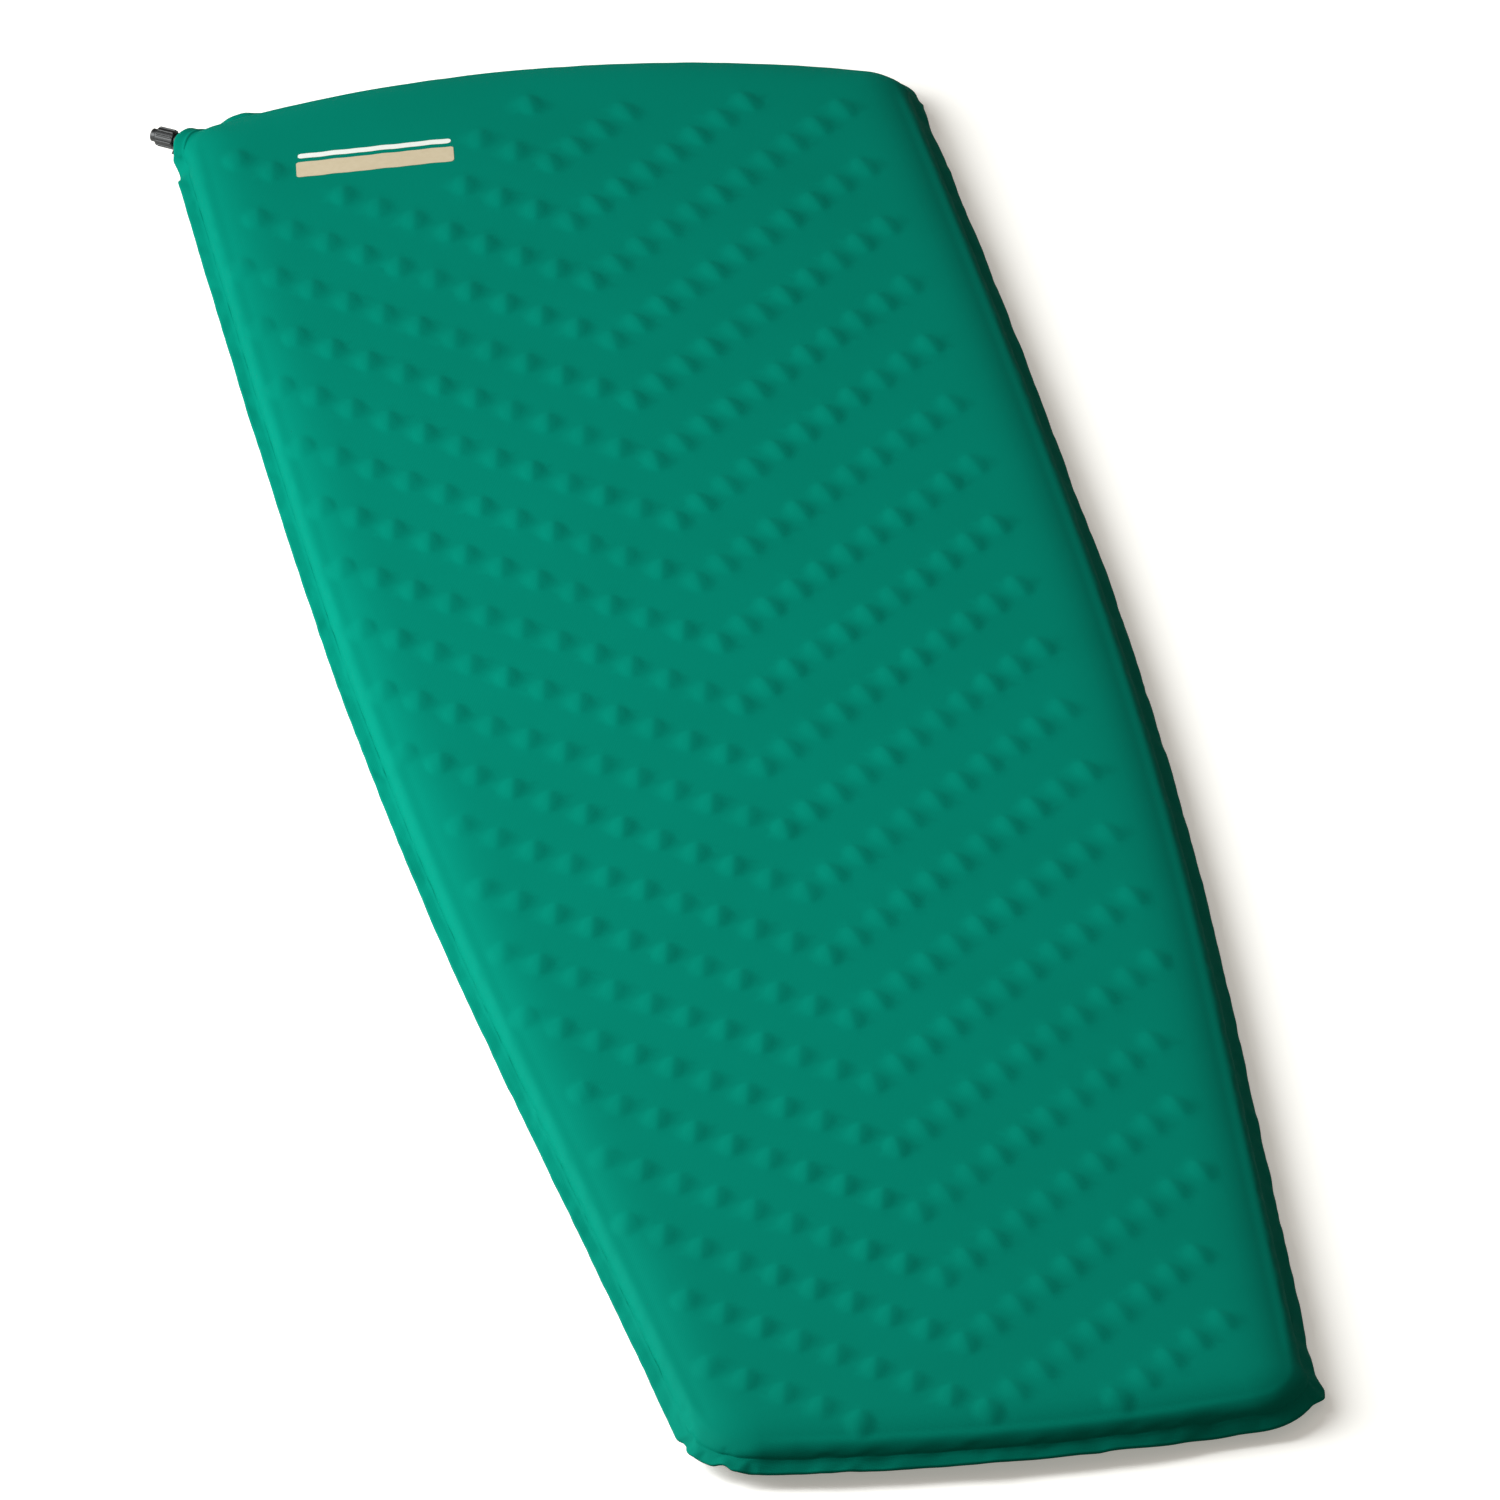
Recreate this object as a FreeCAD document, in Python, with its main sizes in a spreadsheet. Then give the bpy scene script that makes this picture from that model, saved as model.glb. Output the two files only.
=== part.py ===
import FreeCAD, Part
import math
import os
import Sketcher
from FreeCAD import Matrix, Placement, Rotation, Vector

# A self-inflating sleeping pad: two welded fabric shells around a die-cut foam core, with a
# twist valve in the head-left corner. Millimetres, +Z up, +Y towards the head, and the origin
# at the middle of the underside.

DRIVING_SIZES = {
    # plan outline, measured at the outer edge of the welded seam
    "pad_length": 1830.0,
    "pad_width": 522.0,
    "head_radius": 640.0,
    "head_corner": 45.0,
    "shoulder_radius": 24000.0,
    "widest_at": 250.0,
    "flank_radius": 9000.0,
    "flank_end": -400.0,
    "foot_corner": 55.0,
    "foot_radius": 1100.0,
    # section
    "pad_thickness": 28.0,
    "seam_width": 7.0,
    "fabric_thickness": 0.6,
    "edge_round": 13.3,
    "core_inset": 17.0,
    "core_clearance": 0.1,
    "core_round": 5.0,
    # die-cut slots of the core: rows in a V that points at the foot, each slot leaning inwards
    "slot_pitch": 20.5,
    "row_pitch": 82.0,
    "slot_length": 20.0,
    "slot_width": 5.0,
    "slot_lean": 11.0,
    "vee_shift": -10.0,
    "last_vee_at": -880.0,
    "left_margin": 22.0,
    "right_margin": 46.0,
    "head_margin": 72.0,
    "foot_margin": 28.0,
    # label, printed on the top near the head-left corner
    "label_x": -125.0,
    "label_y": 782.0,
    "label_turn": 2.5,
    "label_width": 107.0,
    "label_height": 20.0,
    "label_thickness": 0.25,
    "label_clear": 14.0,
    "stripe_width": 104.0,
    "stripe_height": 6.0,
    "stripe_gap": 5.0,
    # twist valve, measured along its axis from the centre of the corner's arc
    "valve_angle": 144.0,
    "boat_start": 28.0,
    "boat_end": 41.0,
    "boat_width": 36.0,
    "boat_height": 12.0,
    "boat_clearance": 0.1,
    "tip_clear": 46.0,
    "collar_end": 43.0,
    "collar_radius": 6.0,
    "stem_end": 58.1,
    "stem_radius": 4.5,
    "thread_start": 53.2,
    "thread_end": 57.1,
    "thread_radius": 4.95,
    "bore_radius": 2.75,
    "post_radius": 0.9,
    "post_end": 62.4,
    "plug_start": 59.6,
    "plug_radius": 2.05,
    "spoke_start": 44.0,
    "spoke_length": 3.0,
    "spoke_width": 0.9,
    "stem_ring_wire": 0.45,
    "post_ring_wire": 0.4,
    "stem_ring_at": 52.2,
    "post_ring_at": 61.0,
    "cap_start": 47.0,
    "cap_shoulder": 60.0,
    "cap_end": 64.5,
    "cap_radius": 6.1,
    "cap_chamfer": 0.6,
    "cap_bore": 5.0,
    "cap_hole": 2.5,
    "nozzle_radius": 4.4,
    "grip_start": 48.0,
    "grip_end": 59.2,
    "grip_count": 10.0,
    "grip_radius": 0.75,
    "seal_start": 58.6,
    "seal_end": 59.5,
    "seal_outer": 4.93,
    "seal_inner": 3.4,
    "cap_ceiling": 59.8,
}

doc = FreeCAD.newDocument("sleeping_pad")
sizes = doc.addObject("Spreadsheet::Sheet", "Sizes")


def fill_sheet():
    for row, (name, number) in enumerate(DRIVING_SIZES.items(), start=1):
        sizes.set(f"A{row}", name)
        sizes.set(f"B{row}", str(number))
        sizes.setAlias(f"B{row}", name)
    doc.recompute()


def size(name):
    return float(getattr(sizes, name))


def value(expression):
    return float(sizes.evalExpression(expression))


# ---------------------------------------------------------------- helpers

# points of a sketch curve, and the sketch's own origin and vertical axis
START, END, CENTRE = 1, 2, 3
ORIGIN = (-1, 1)
H_AXIS, V_AXIS = -1, -2


def new_body(label):
    body = doc.addObject("PartDesign::Body", label)
    body.Label = label
    return body


def origin_plane(body, role):
    return next(f for f in body.Origin.OriginFeatures if f.Role == role)


def new_sketch(body, name, role="XY_Plane", height=None):
    """A sketch on one of the body's own origin planes, raised along its normal by an expression."""
    sketch = body.newObject("Sketcher::SketchObject", name)
    sketch.AttachmentSupport = [(origin_plane(body, role), "")]
    sketch.MapMode = "FlatFace"
    if height:
        sketch.setExpression("AttachmentOffset.Base.z", height)
    return sketch


def bind(sketch, constraint, name, expression):
    """Adds a named constraint and drives it from the sheet."""
    index = sketch.addConstraint(constraint)
    sketch.renameConstraint(index, name)
    sketch.setExpression(f"Constraints.{name}", expression)
    return index


def pad_feature(body, sketch, length, name="Pad"):
    pad = body.newObject("PartDesign::Pad", name)
    pad.Profile = sketch
    pad.setExpression("Length", length)
    return pad


def revolve(body, sketch, name="Turned"):
    turned = body.newObject("PartDesign::Revolution", name)
    turned.Profile = sketch
    turned.ReferenceAxis = (sketch, ["V_Axis"])
    turned.Angle = 360
    return turned


# ---------------------------------------------------------------- plan outline


def outline_points(inset):
    """Centres, radii and joints of the right half of the outline, moved in by inset."""
    half_length = size("pad_length") / 2
    half_width = size("pad_width") / 2
    widest = size("widest_at")
    head = Vector(0, half_length - size("head_radius"))
    foot = Vector(0, size("foot_radius") - half_length)
    shoulder = Vector(half_width - size("shoulder_radius"), widest)
    flank = Vector(half_width - size("flank_radius"), widest)
    lean = math.asin((widest - size("flank_end")) / size("flank_radius"))
    flank_out = Vector(math.cos(lean), -math.sin(lean))
    flank_down = Vector(-math.sin(lean), -math.cos(lean))
    head_corner = circles_meet(
        head,
        size("head_radius") - size("head_corner"),
        shoulder,
        size("shoulder_radius") - size("head_corner"),
    )
    inner_line = flank + flank_out * (size("flank_radius") - size("foot_corner"))
    foot_corner = line_meets_circle(
        inner_line, flank_down, foot, size("foot_radius") - size("foot_corner")
    )
    along = (foot_corner - inner_line).dot(flank_down)
    flank_joint = flank + flank_out * (size("flank_radius") - inset)
    return {
        "head": head,
        "foot": foot,
        "shoulder": shoulder,
        "flank": flank,
        "head_corner": head_corner,
        "foot_corner": foot_corner,
        "head_joint": head + unit(head_corner - head) * (size("head_radius") - inset),
        "shoulder_joint": shoulder
        + unit(head_corner - shoulder) * (size("shoulder_radius") - inset),
        "widest_joint": Vector(half_width - inset, widest),
        "flank_joint": flank_joint,
        "corner_joint": flank_joint + flank_down * along,
        "foot_joint": foot + unit(foot_corner - foot) * (size("foot_radius") - inset),
    }


def unit(vector):
    return vector * (1.0 / vector.Length)


def circles_meet(first, first_radius, second, second_radius):
    """The upper right of the two points where the circles cross."""
    gap = second - first
    distance = gap.Length
    along = (distance**2 + first_radius**2 - second_radius**2) / (2 * distance)
    aside = math.sqrt(first_radius**2 - along**2)
    middle = first + unit(gap) * along
    normal = Vector(-gap.y, gap.x) * (aside / distance)
    return max(middle + normal, middle - normal, key=lambda point: point.y)


def line_meets_circle(start, direction, centre, radius):
    """The farther point along the line where it crosses the circle."""
    offset = start - centre
    half = offset.dot(direction)
    root = math.sqrt(half**2 - offset.dot(offset) + radius**2)
    return start + direction * (root - half)


def mirrored(point):
    return Vector(-point.x, point.y)


def arc(centre, start, end):
    """Counter-clockwise arc about centre from start to end."""
    first = math.atan2(start.y - centre.y, start.x - centre.x)
    last = math.atan2(end.y - centre.y, end.x - centre.x)
    if last < first:
        last += 2 * math.pi
    circle = Part.Circle(centre, Vector(0, 0, 1), (start - centre).Length)
    return Part.ArcOfCircle(circle, first, last)


def outline_curves(inset):
    """The closed outline, counter-clockwise from the right end of the foot's arc."""
    p = outline_points(inset)
    q = {name: mirrored(point) for name, point in p.items()}
    return [
        arc(p["foot_corner"], p["foot_joint"], p["corner_joint"]),
        Part.LineSegment(p["corner_joint"], p["flank_joint"]),
        arc(p["flank"], p["flank_joint"], p["widest_joint"]),
        arc(p["shoulder"], p["widest_joint"], p["shoulder_joint"]),
        arc(p["head_corner"], p["shoulder_joint"], p["head_joint"]),
        arc(p["head"], p["head_joint"], q["head_joint"]),
        arc(q["head_corner"], q["head_joint"], q["shoulder_joint"]),
        arc(q["shoulder"], q["shoulder_joint"], q["widest_joint"]),
        arc(q["flank"], q["widest_joint"], q["flank_joint"]),
        Part.LineSegment(q["flank_joint"], q["corner_joint"]),
        arc(q["foot_corner"], q["corner_joint"], q["foot_joint"]),
        arc(p["foot"], q["foot_joint"], p["foot_joint"]),
    ]


RADII = {
    0: "foot_corner",
    2: "flank_radius",
    3: "shoulder_radius",
    4: "head_corner",
    5: "head_radius",
    6: "head_corner",
    7: "shoulder_radius",
    8: "flank_radius",
    10: "foot_corner",
    11: "foot_radius",
}


def add_outline(sketch, inset, prefix="outer"):
    """Draws the outline moved in by an expression, tangent all round and driven by the sheet."""
    gap = value(inset)
    curves = outline_curves(gap)
    first = sketch.GeometryCount
    sketch.addGeometry(curves, False)
    for index in range(len(curves)):
        after = (index + 1) % len(curves)
        sketch.addConstraint(
            Sketcher.Constraint("Tangent", first + index, END, first + after, START)
        )
    for index, alias in RADII.items():
        bind(
            sketch,
            Sketcher.Constraint("Radius", first + index, size(alias) - gap),
            f"{prefix}_radius_{index}",
            f"Sizes.{alias} - ({inset})",
        )
    anchor_outline(sketch, first, inset, prefix)


def anchor_outline(sketch, first, inset, prefix):
    """Holds the outline's centres and joints in place about the sketch's own axes."""
    flank, shoulder, head, foot = first + 2, first + 3, first + 5, first + 11
    left_shoulder, left_flank = first + 7, first + 8
    for centre in (head, foot):
        sketch.addConstraint(Sketcher.Constraint("PointOnObject", centre, CENTRE, V_AXIS))
    mirror = Sketcher.Constraint("Symmetric", shoulder, START, left_flank, START, V_AXIS)
    sketch.addConstraint(mirror)
    for point, other in (
        ((shoulder, CENTRE), (left_shoulder, CENTRE)),
        ((flank, START), (left_flank, END)),
    ):
        sketch.addConstraint(Sketcher.Constraint("Horizontal", *point, *other))
    lean = "(Sizes.widest_at - Sizes.flank_end) / Sizes.flank_radius"
    heights = {
        "head_centre": ((ORIGIN, head, CENTRE), "Sizes.pad_length / 2 - Sizes.head_radius"),
        "foot_centre": ((ORIGIN, foot, CENTRE), "Sizes.foot_radius - Sizes.pad_length / 2"),
        "widest_joint": ((ORIGIN, shoulder, START), "Sizes.widest_at"),
        "shoulder_centre": ((ORIGIN, shoulder, CENTRE), "Sizes.widest_at"),
    }
    for name, ((origin, curve, point), expression) in heights.items():
        constraint = Sketcher.Constraint("DistanceY", *origin, curve, point, value(expression))
        bind(sketch, constraint, f"{prefix}_{name}", expression)
    half_width = f"Sizes.pad_width / 2 - ({inset})"
    constraint = Sketcher.Constraint("DistanceX", *ORIGIN, shoulder, START, value(half_width))
    bind(sketch, constraint, f"{prefix}_half_width", half_width)
    drop = f"(Sizes.flank_radius - ({inset})) * {lean} - Sizes.widest_at"
    constraint = Sketcher.Constraint("DistanceY", flank, START, *ORIGIN, value(drop))
    bind(sketch, constraint, f"{prefix}_flank_end", drop)


def add_profile(sketch, points, prefix="p"):
    """A closed polygon whose corners are pairs of expressions, each bound to the sheet."""
    corners = [Vector(value(x), value(y), 0) for x, y in points]
    first = sketch.GeometryCount
    count = len(corners)
    for index in range(count):
        line = Part.LineSegment(corners[index], corners[(index + 1) % count])
        sketch.addGeometry(line, False)
    for index, (x, y) in enumerate(points):
        before = first + (index - 1) % count
        here = first + index
        sketch.addConstraint(Sketcher.Constraint("Coincident", before, END, here, START))
        for axis, expression in (("X", x), ("Y", y)):
            distance = value(expression)
            if distance < 0:
                constraint = Sketcher.Constraint(f"Distance{axis}", here, START, *ORIGIN, -distance)
                expression = f"-({expression})"
            elif distance == 0:
                axis_line = V_AXIS if axis == "X" else H_AXIS
                constraint = Sketcher.Constraint("PointOnObject", here, START, axis_line)
                sketch.addConstraint(constraint)
                continue
            else:
                constraint = Sketcher.Constraint(f"Distance{axis}", *ORIGIN, here, START, distance)
            bind(sketch, constraint, f"{prefix}{index}{axis.lower()}", expression)


def add_circle(sketch, radius, name, x="0"):
    """A circle on the sketch's horizontal axis."""
    centre = Vector(value(x), 0, 0)
    circle = sketch.addGeometry(Part.Circle(centre, Vector(0, 0, 1), value(radius)), False)
    bind(sketch, Sketcher.Constraint("Radius", circle, value(radius)), name, radius)
    sketch.addConstraint(Sketcher.Constraint("PointOnObject", circle, CENTRE, H_AXIS))
    if value(x) == 0:
        sketch.addConstraint(Sketcher.Constraint("PointOnObject", circle, CENTRE, V_AXIS))
    else:
        away = Sketcher.Constraint("DistanceX", *ORIGIN, circle, CENTRE, value(x))
        bind(sketch, away, f"{name}_x", x)


def polar_pattern(body, feature, axis_sketch, count):
    pattern = body.newObject("PartDesign::PolarPattern", "Around")
    pattern.Originals = [feature]
    pattern.Axis = (axis_sketch, ["N_Axis"])
    pattern.Angle = 360
    pattern.setExpression("Occurrences", count)
    body.Tip = pattern
    return pattern


# ---------------------------------------------------------------- fabric shells and core


def fabric_blank(label, upper):
    """Half of the inflated casing: a rounded slab hollowed to one fabric's thickness, with its seam."""
    body = new_body(label)
    half = "Sizes.pad_thickness / 2"
    slab = new_sketch(body, f"{label}_slab", height=half)
    add_outline(slab, "Sizes.seam_width")
    crown = pad_feature(body, slab, half, "Crown")
    crown.Reversed = not upper
    doc.recompute()
    outer = size("pad_thickness") if upper else 0.0
    rim = [
        f"Edge{number}"
        for number, edge in enumerate(crown.Shape.Edges, start=1)
        if all(abs(vertex.Z - outer) < 1e-6 for vertex in edge.Vertexes)
    ]
    rounded = body.newObject("PartDesign::Fillet", "RoundedEdge")
    rounded.Base = (crown, rim)
    rounded.setExpression("Radius", "Sizes.edge_round")
    doc.recompute()
    middle = size("pad_thickness") / 2
    open_face = next(
        f"Face{number}"
        for number, face in enumerate(rounded.Shape.Faces, start=1)
        if abs(face.BoundBox.ZMin - middle) < 1e-6 and abs(face.BoundBox.ZMax - middle) < 1e-6
    )
    wall = body.newObject("PartDesign::Thickness", "Wall")
    wall.Base = (rounded, [open_face])
    wall.setExpression("Value", "Sizes.fabric_thickness")
    wall.Reversed = True
    wall.Join = 0
    seam = new_sketch(body, f"{label}_seam", height=half)
    add_outline(seam, "0", "edge")
    add_outline(seam, "Sizes.seam_width + Sizes.fabric_thickness / 2", "weld")
    flange = pad_feature(body, seam, "Sizes.fabric_thickness", "Seam")
    flange.Reversed = not upper
    return body


def valve_placement():
    """Puts a valve piece, modelled along +Z, on the corner's axis at half the pad's height."""
    corner = mirrored(outline_points(0.0)["head_corner"])
    angle = math.radians(size("valve_angle"))
    out = Vector(math.cos(angle), math.sin(angle), 0)
    side = Vector(-out.y, out.x, 0)
    up = Vector(0, 0, 1)
    turn = Matrix(side.x, up.x, out.x, 0, side.y, up.y, out.y, 0, side.z, up.z, out.z, 0, 0, 0, 0, 1)
    base = Vector(corner.x, corner.y, size("pad_thickness") / 2)
    return Placement(base, Rotation(turn))


def lens_sketch(body, name, height, clearance="0"):
    """The boat's section: two arcs that meet in points at its sides."""
    sketch = new_sketch(body, name, height=height)
    half_width = f"Sizes.boat_width / 2 + ({clearance})"
    half_height = f"Sizes.boat_height / 2 + ({clearance})"
    radius = f"(({half_width}) ^ 2 + ({half_height}) ^ 2) / (2 * ({half_height}))"
    right = Vector(value(half_width), 0, 0)
    left = Vector(-value(half_width), 0, 0)
    drop = value(radius) - value(half_height)
    upper = sketch.addGeometry(arc(Vector(0, -drop, 0), right, left), False)
    lower = sketch.addGeometry(arc(Vector(0, drop, 0), left, right), False)
    for first, second in ((upper, lower), (lower, upper)):
        sketch.addConstraint(Sketcher.Constraint("Coincident", first, END, second, START))
    sketch.addConstraint(Sketcher.Constraint("PointOnObject", upper, START, H_AXIS))
    sketch.addConstraint(Sketcher.Constraint("Symmetric", upper, START, upper, END, V_AXIS))
    for curve, name in ((upper, "upper"), (lower, "lower")):
        bind(sketch, Sketcher.Constraint("Radius", curve, value(radius)), name, radius)
    reach = Sketcher.Constraint("DistanceX", *ORIGIN, upper, START, value(half_width))
    bind(sketch, reach, "half_width", half_width)
    return sketch


def valve_opening(label):
    """What the boat and the collar take out of the seam, a little larger than they are."""
    body = new_body(label)
    clearance = "Sizes.boat_clearance"
    lens = lens_sketch(body, f"{label}_lens", f"Sizes.boat_start - {clearance}", clearance)
    pad_feature(body, lens, f"Sizes.boat_end - Sizes.boat_start + 2 * {clearance}", "Boat")
    round_end = new_sketch(body, f"{label}_round", height="Sizes.boat_start")
    add_circle(round_end, f"Sizes.collar_radius + {clearance}", "radius")
    pad_feature(body, round_end, "Sizes.tip_clear - Sizes.boat_start", "Collar")
    body.Placement = valve_placement()
    return body


def fabric(label, upper):
    """A casing half with the valve's opening cut in it."""
    cut = doc.addObject("Part::Cut", label)
    cut.Base = fabric_blank(f"{label}_blank", upper)
    cut.Tool = valve_opening(f"{label}_opening")
    cut.Label = label
    return cut


def slot_places():
    """Middle and lean of each die-cut slot: rows in a V, kept clear of the edge and the label."""
    half_length = size("pad_length") / 2
    pitch = size("slot_pitch")
    row_pitch = size("row_pitch")
    columns = int(size("pad_width") / 2 / pitch)
    rows = int(size("pad_length") / row_pitch) + 3
    places = []
    for column in range(-columns, columns + 1):
        x = size("vee_shift") + column * pitch
        lean = size("slot_lean") * ((column > 0) - (column < 0))
        for row in range(-2, rows):
            y = size("last_vee_at") + row * row_pitch + abs(column) * pitch
            if abs(y) < half_length and slot_fits(x, y):
                places.append((x, y, lean))
    return places


def slot_fits(x, y):
    margin = size("left_margin") if x < 0 else size("right_margin")
    return (
        abs(x) < half_width_at(y) - margin
        and y < head_edge_at(x) - size("head_margin")
        and y > foot_edge_at(x) + size("foot_margin")
        and not under_label(x, y)
    )


def half_width_at(y):
    """Half of the pad's width at y, with the foot's corners rounded off."""
    p = outline_points(0.0)
    corner = p["foot_corner"]
    if y < corner.y:
        return corner.x + math.sqrt(max(0.0, size("foot_corner") ** 2 - (corner.y - y) ** 2))
    if y < p["flank_joint"].y:
        slope = (p["flank_joint"].x - p["corner_joint"].x) / (p["flank_joint"].y - p["corner_joint"].y)
        return p["corner_joint"].x + slope * (y - p["corner_joint"].y)
    side = "flank" if y < size("widest_at") else "shoulder"
    return p[side].x + math.sqrt(size(f"{side}_radius") ** 2 - (y - p[side].y) ** 2)


def head_edge_at(x):
    radius = size("head_radius")
    return size("pad_length") / 2 - radius + math.sqrt(radius**2 - x**2)


def foot_edge_at(x):
    radius = size("foot_radius")
    return radius - size("pad_length") / 2 - math.sqrt(radius**2 - x**2)


def under_label(x, y):
    clear = size("label_clear")
    top = size("stripe_gap") + size("stripe_height") + clear
    across = abs(x - size("label_x")) < size("label_width") / 2 + clear
    return across and -size("label_height") / 2 - clear < y - size("label_y") < top + clear * 2


def slot_wire(x, y, lean, z):
    """One slot's outline: straight sides and round ends, turned by its lean."""
    reach = (size("slot_length") - size("slot_width")) / 2
    half = size("slot_width") / 2
    right = Part.LineSegment(Vector(half, -reach, 0), Vector(half, reach, 0))
    left = Part.LineSegment(Vector(-half, reach, 0), Vector(-half, -reach, 0))
    top = Part.Arc(right.EndPoint, Vector(0, reach + half, 0), left.StartPoint)
    bottom = Part.Arc(left.EndPoint, Vector(0, -reach - half, 0), right.StartPoint)
    wire = Part.Wire([curve.toShape() for curve in (right, top, left, bottom)])
    wire.Placement = Placement(Vector(x, y, z), Rotation(Vector(0, 0, 1), lean))
    return wire


def foam_core(label):
    """Foam slab with a rounded rim, die-cut right through by hundreds of slots in one cut."""
    gap = size("fabric_thickness") + size("core_clearance")
    thickness = size("pad_thickness") - 2 * gap
    edge = Part.Wire([curve.toShape() for curve in outline_curves(size("core_inset"))])
    edge.translate(Vector(0, 0, gap))
    slab = Part.Face(edge).extrude(Vector(0, 0, thickness))
    slab = slab.makeFillet(size("core_round"), rim_edges(slab))
    wires = [slot_wire(*place, 0) for place in slot_places()]
    knives = [Part.Face(wire).extrude(Vector(0, 0, size("pad_thickness"))) for wire in wires]
    core = doc.addObject("Part::Feature", label)
    core.Shape = slab.cut(Part.makeCompound(knives)).Solids[0]
    core.Label = label
    print("slots:", len(knives))
    return core


def rim_edges(slab):
    """The slab's long outer edges, above and below."""
    whole = slab.BoundBox.DiagonalLength
    return [edge for face in slab.Faces if face.BoundBox.DiagonalLength > 0.9 * whole for edge in face.Edges]


def label_plate(label, width, height, above):
    """A thin printed plate on the top fabric, moved up from the label's middle by an expression."""
    plate = doc.addObject("Part::Box", label)
    plate.setExpression("Length", f"Sizes.{width}")
    plate.setExpression("Width", f"Sizes.{height}")
    plate.setExpression("Height", "Sizes.label_thickness")
    turn = Rotation(Vector(0, 0, 1), size("label_turn"))
    corner = Vector(-size(width) / 2, value(above) - size(height) / 2, 0)
    middle = Vector(size("label_x"), size("label_y"), size("pad_thickness"))
    plate.Placement = Placement(middle + turn.multVec(corner), turn)
    plate.Label = label
    return plate


# ---------------------------------------------------------------- twist valve


def turned_piece(label, points):
    """A valve piece turned about its own +Z from a profile of (radius, height) expressions."""
    body = new_body(label)
    sketch = new_sketch(body, f"{label}_profile", "XZ_Plane")
    add_profile(sketch, points)
    revolve(body, sketch)
    body.Placement = valve_placement()
    return body


def ring_groove(radius, wire, at):
    """Four profile corners of a square groove whose floor an O-ring's wire rests on."""
    low = f"Sizes.{at} - Sizes.{wire}"
    high = f"Sizes.{at} + Sizes.{wire}"
    floor = f"Sizes.{radius} - Sizes.{wire}"
    return [(f"Sizes.{radius}", low), (floor, low), (floor, high), (f"Sizes.{radius}", high)]


def valve_body(label):
    """Boat welded between the fabrics, hollow stem, and the post that plugs the cap, in one moulding."""
    body = new_body(label)
    boat = lens_sketch(body, f"{label}_boat", "Sizes.boat_start")
    add_circle(boat, "Sizes.bore_radius", "bore")
    pad_feature(body, boat, "Sizes.boat_end - Sizes.boat_start", "Boat")
    stem = new_sketch(body, f"{label}_stem", "XZ_Plane")
    add_profile(
        stem,
        [
            ("Sizes.bore_radius", "Sizes.boat_start"),
            ("Sizes.collar_radius", "Sizes.boat_start"),
            ("Sizes.collar_radius", "Sizes.collar_end"),
            ("Sizes.stem_radius", "Sizes.collar_end"),
            *ring_groove("stem_radius", "stem_ring_wire", "stem_ring_at"),
            ("Sizes.stem_radius", "Sizes.thread_start"),
            ("Sizes.thread_radius", "Sizes.thread_start"),
            ("Sizes.thread_radius", "Sizes.thread_end"),
            ("Sizes.stem_radius", "Sizes.stem_end"),
            ("Sizes.bore_radius", "Sizes.stem_end"),
        ],
    )
    revolve(body, stem, "Stem")
    spoke = new_sketch(body, f"{label}_spoke", height="Sizes.spoke_start")
    half = "Sizes.spoke_width / 2"
    reach = "(Sizes.bore_radius + Sizes.stem_radius) / 2"
    add_profile(spoke, [("0", f"-{half}"), (reach, f"-{half}"), (reach, half), ("0", half)])
    arm = pad_feature(body, spoke, "Sizes.spoke_length", "Spoke")
    polar_pattern(body, arm, spoke, "3")
    post = new_sketch(body, f"{label}_post", "XZ_Plane")
    add_profile(
        post,
        [
            ("0", "Sizes.spoke_start"),
            ("Sizes.post_radius", "Sizes.spoke_start"),
            ("Sizes.post_radius", "Sizes.plug_start"),
            ("Sizes.plug_radius", "Sizes.plug_start + Sizes.post_ring_wire"),
            *ring_groove("plug_radius", "post_ring_wire", "post_ring_at"),
            ("Sizes.plug_radius", "Sizes.post_end - Sizes.post_ring_wire"),
            ("Sizes.post_radius", "Sizes.post_end"),
            ("0", "Sizes.post_end"),
        ],
        "q",
    )
    revolve(body, post, "Post")
    body.Placement = valve_placement()
    return body


def o_ring(label, radius, wire, at):
    ring = doc.addObject("Part::Torus", label)
    ring.setExpression("Radius1", f"Sizes.{radius}")
    ring.setExpression("Radius2", f"Sizes.{wire}")
    along = Placement(Vector(0, 0, size(at)), Rotation())
    ring.Placement = valve_placement().multiply(along)
    ring.Label = label
    return ring


def cap_seal(label):
    """Flat elastomer washer under the cap's end wall."""
    return turned_piece(
        label,
        [
            ("Sizes.seal_inner", "Sizes.seal_start"),
            ("Sizes.seal_outer", "Sizes.seal_start"),
            ("Sizes.seal_outer", "Sizes.seal_end"),
            ("Sizes.seal_inner", "Sizes.seal_end"),
        ],
    )


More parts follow.
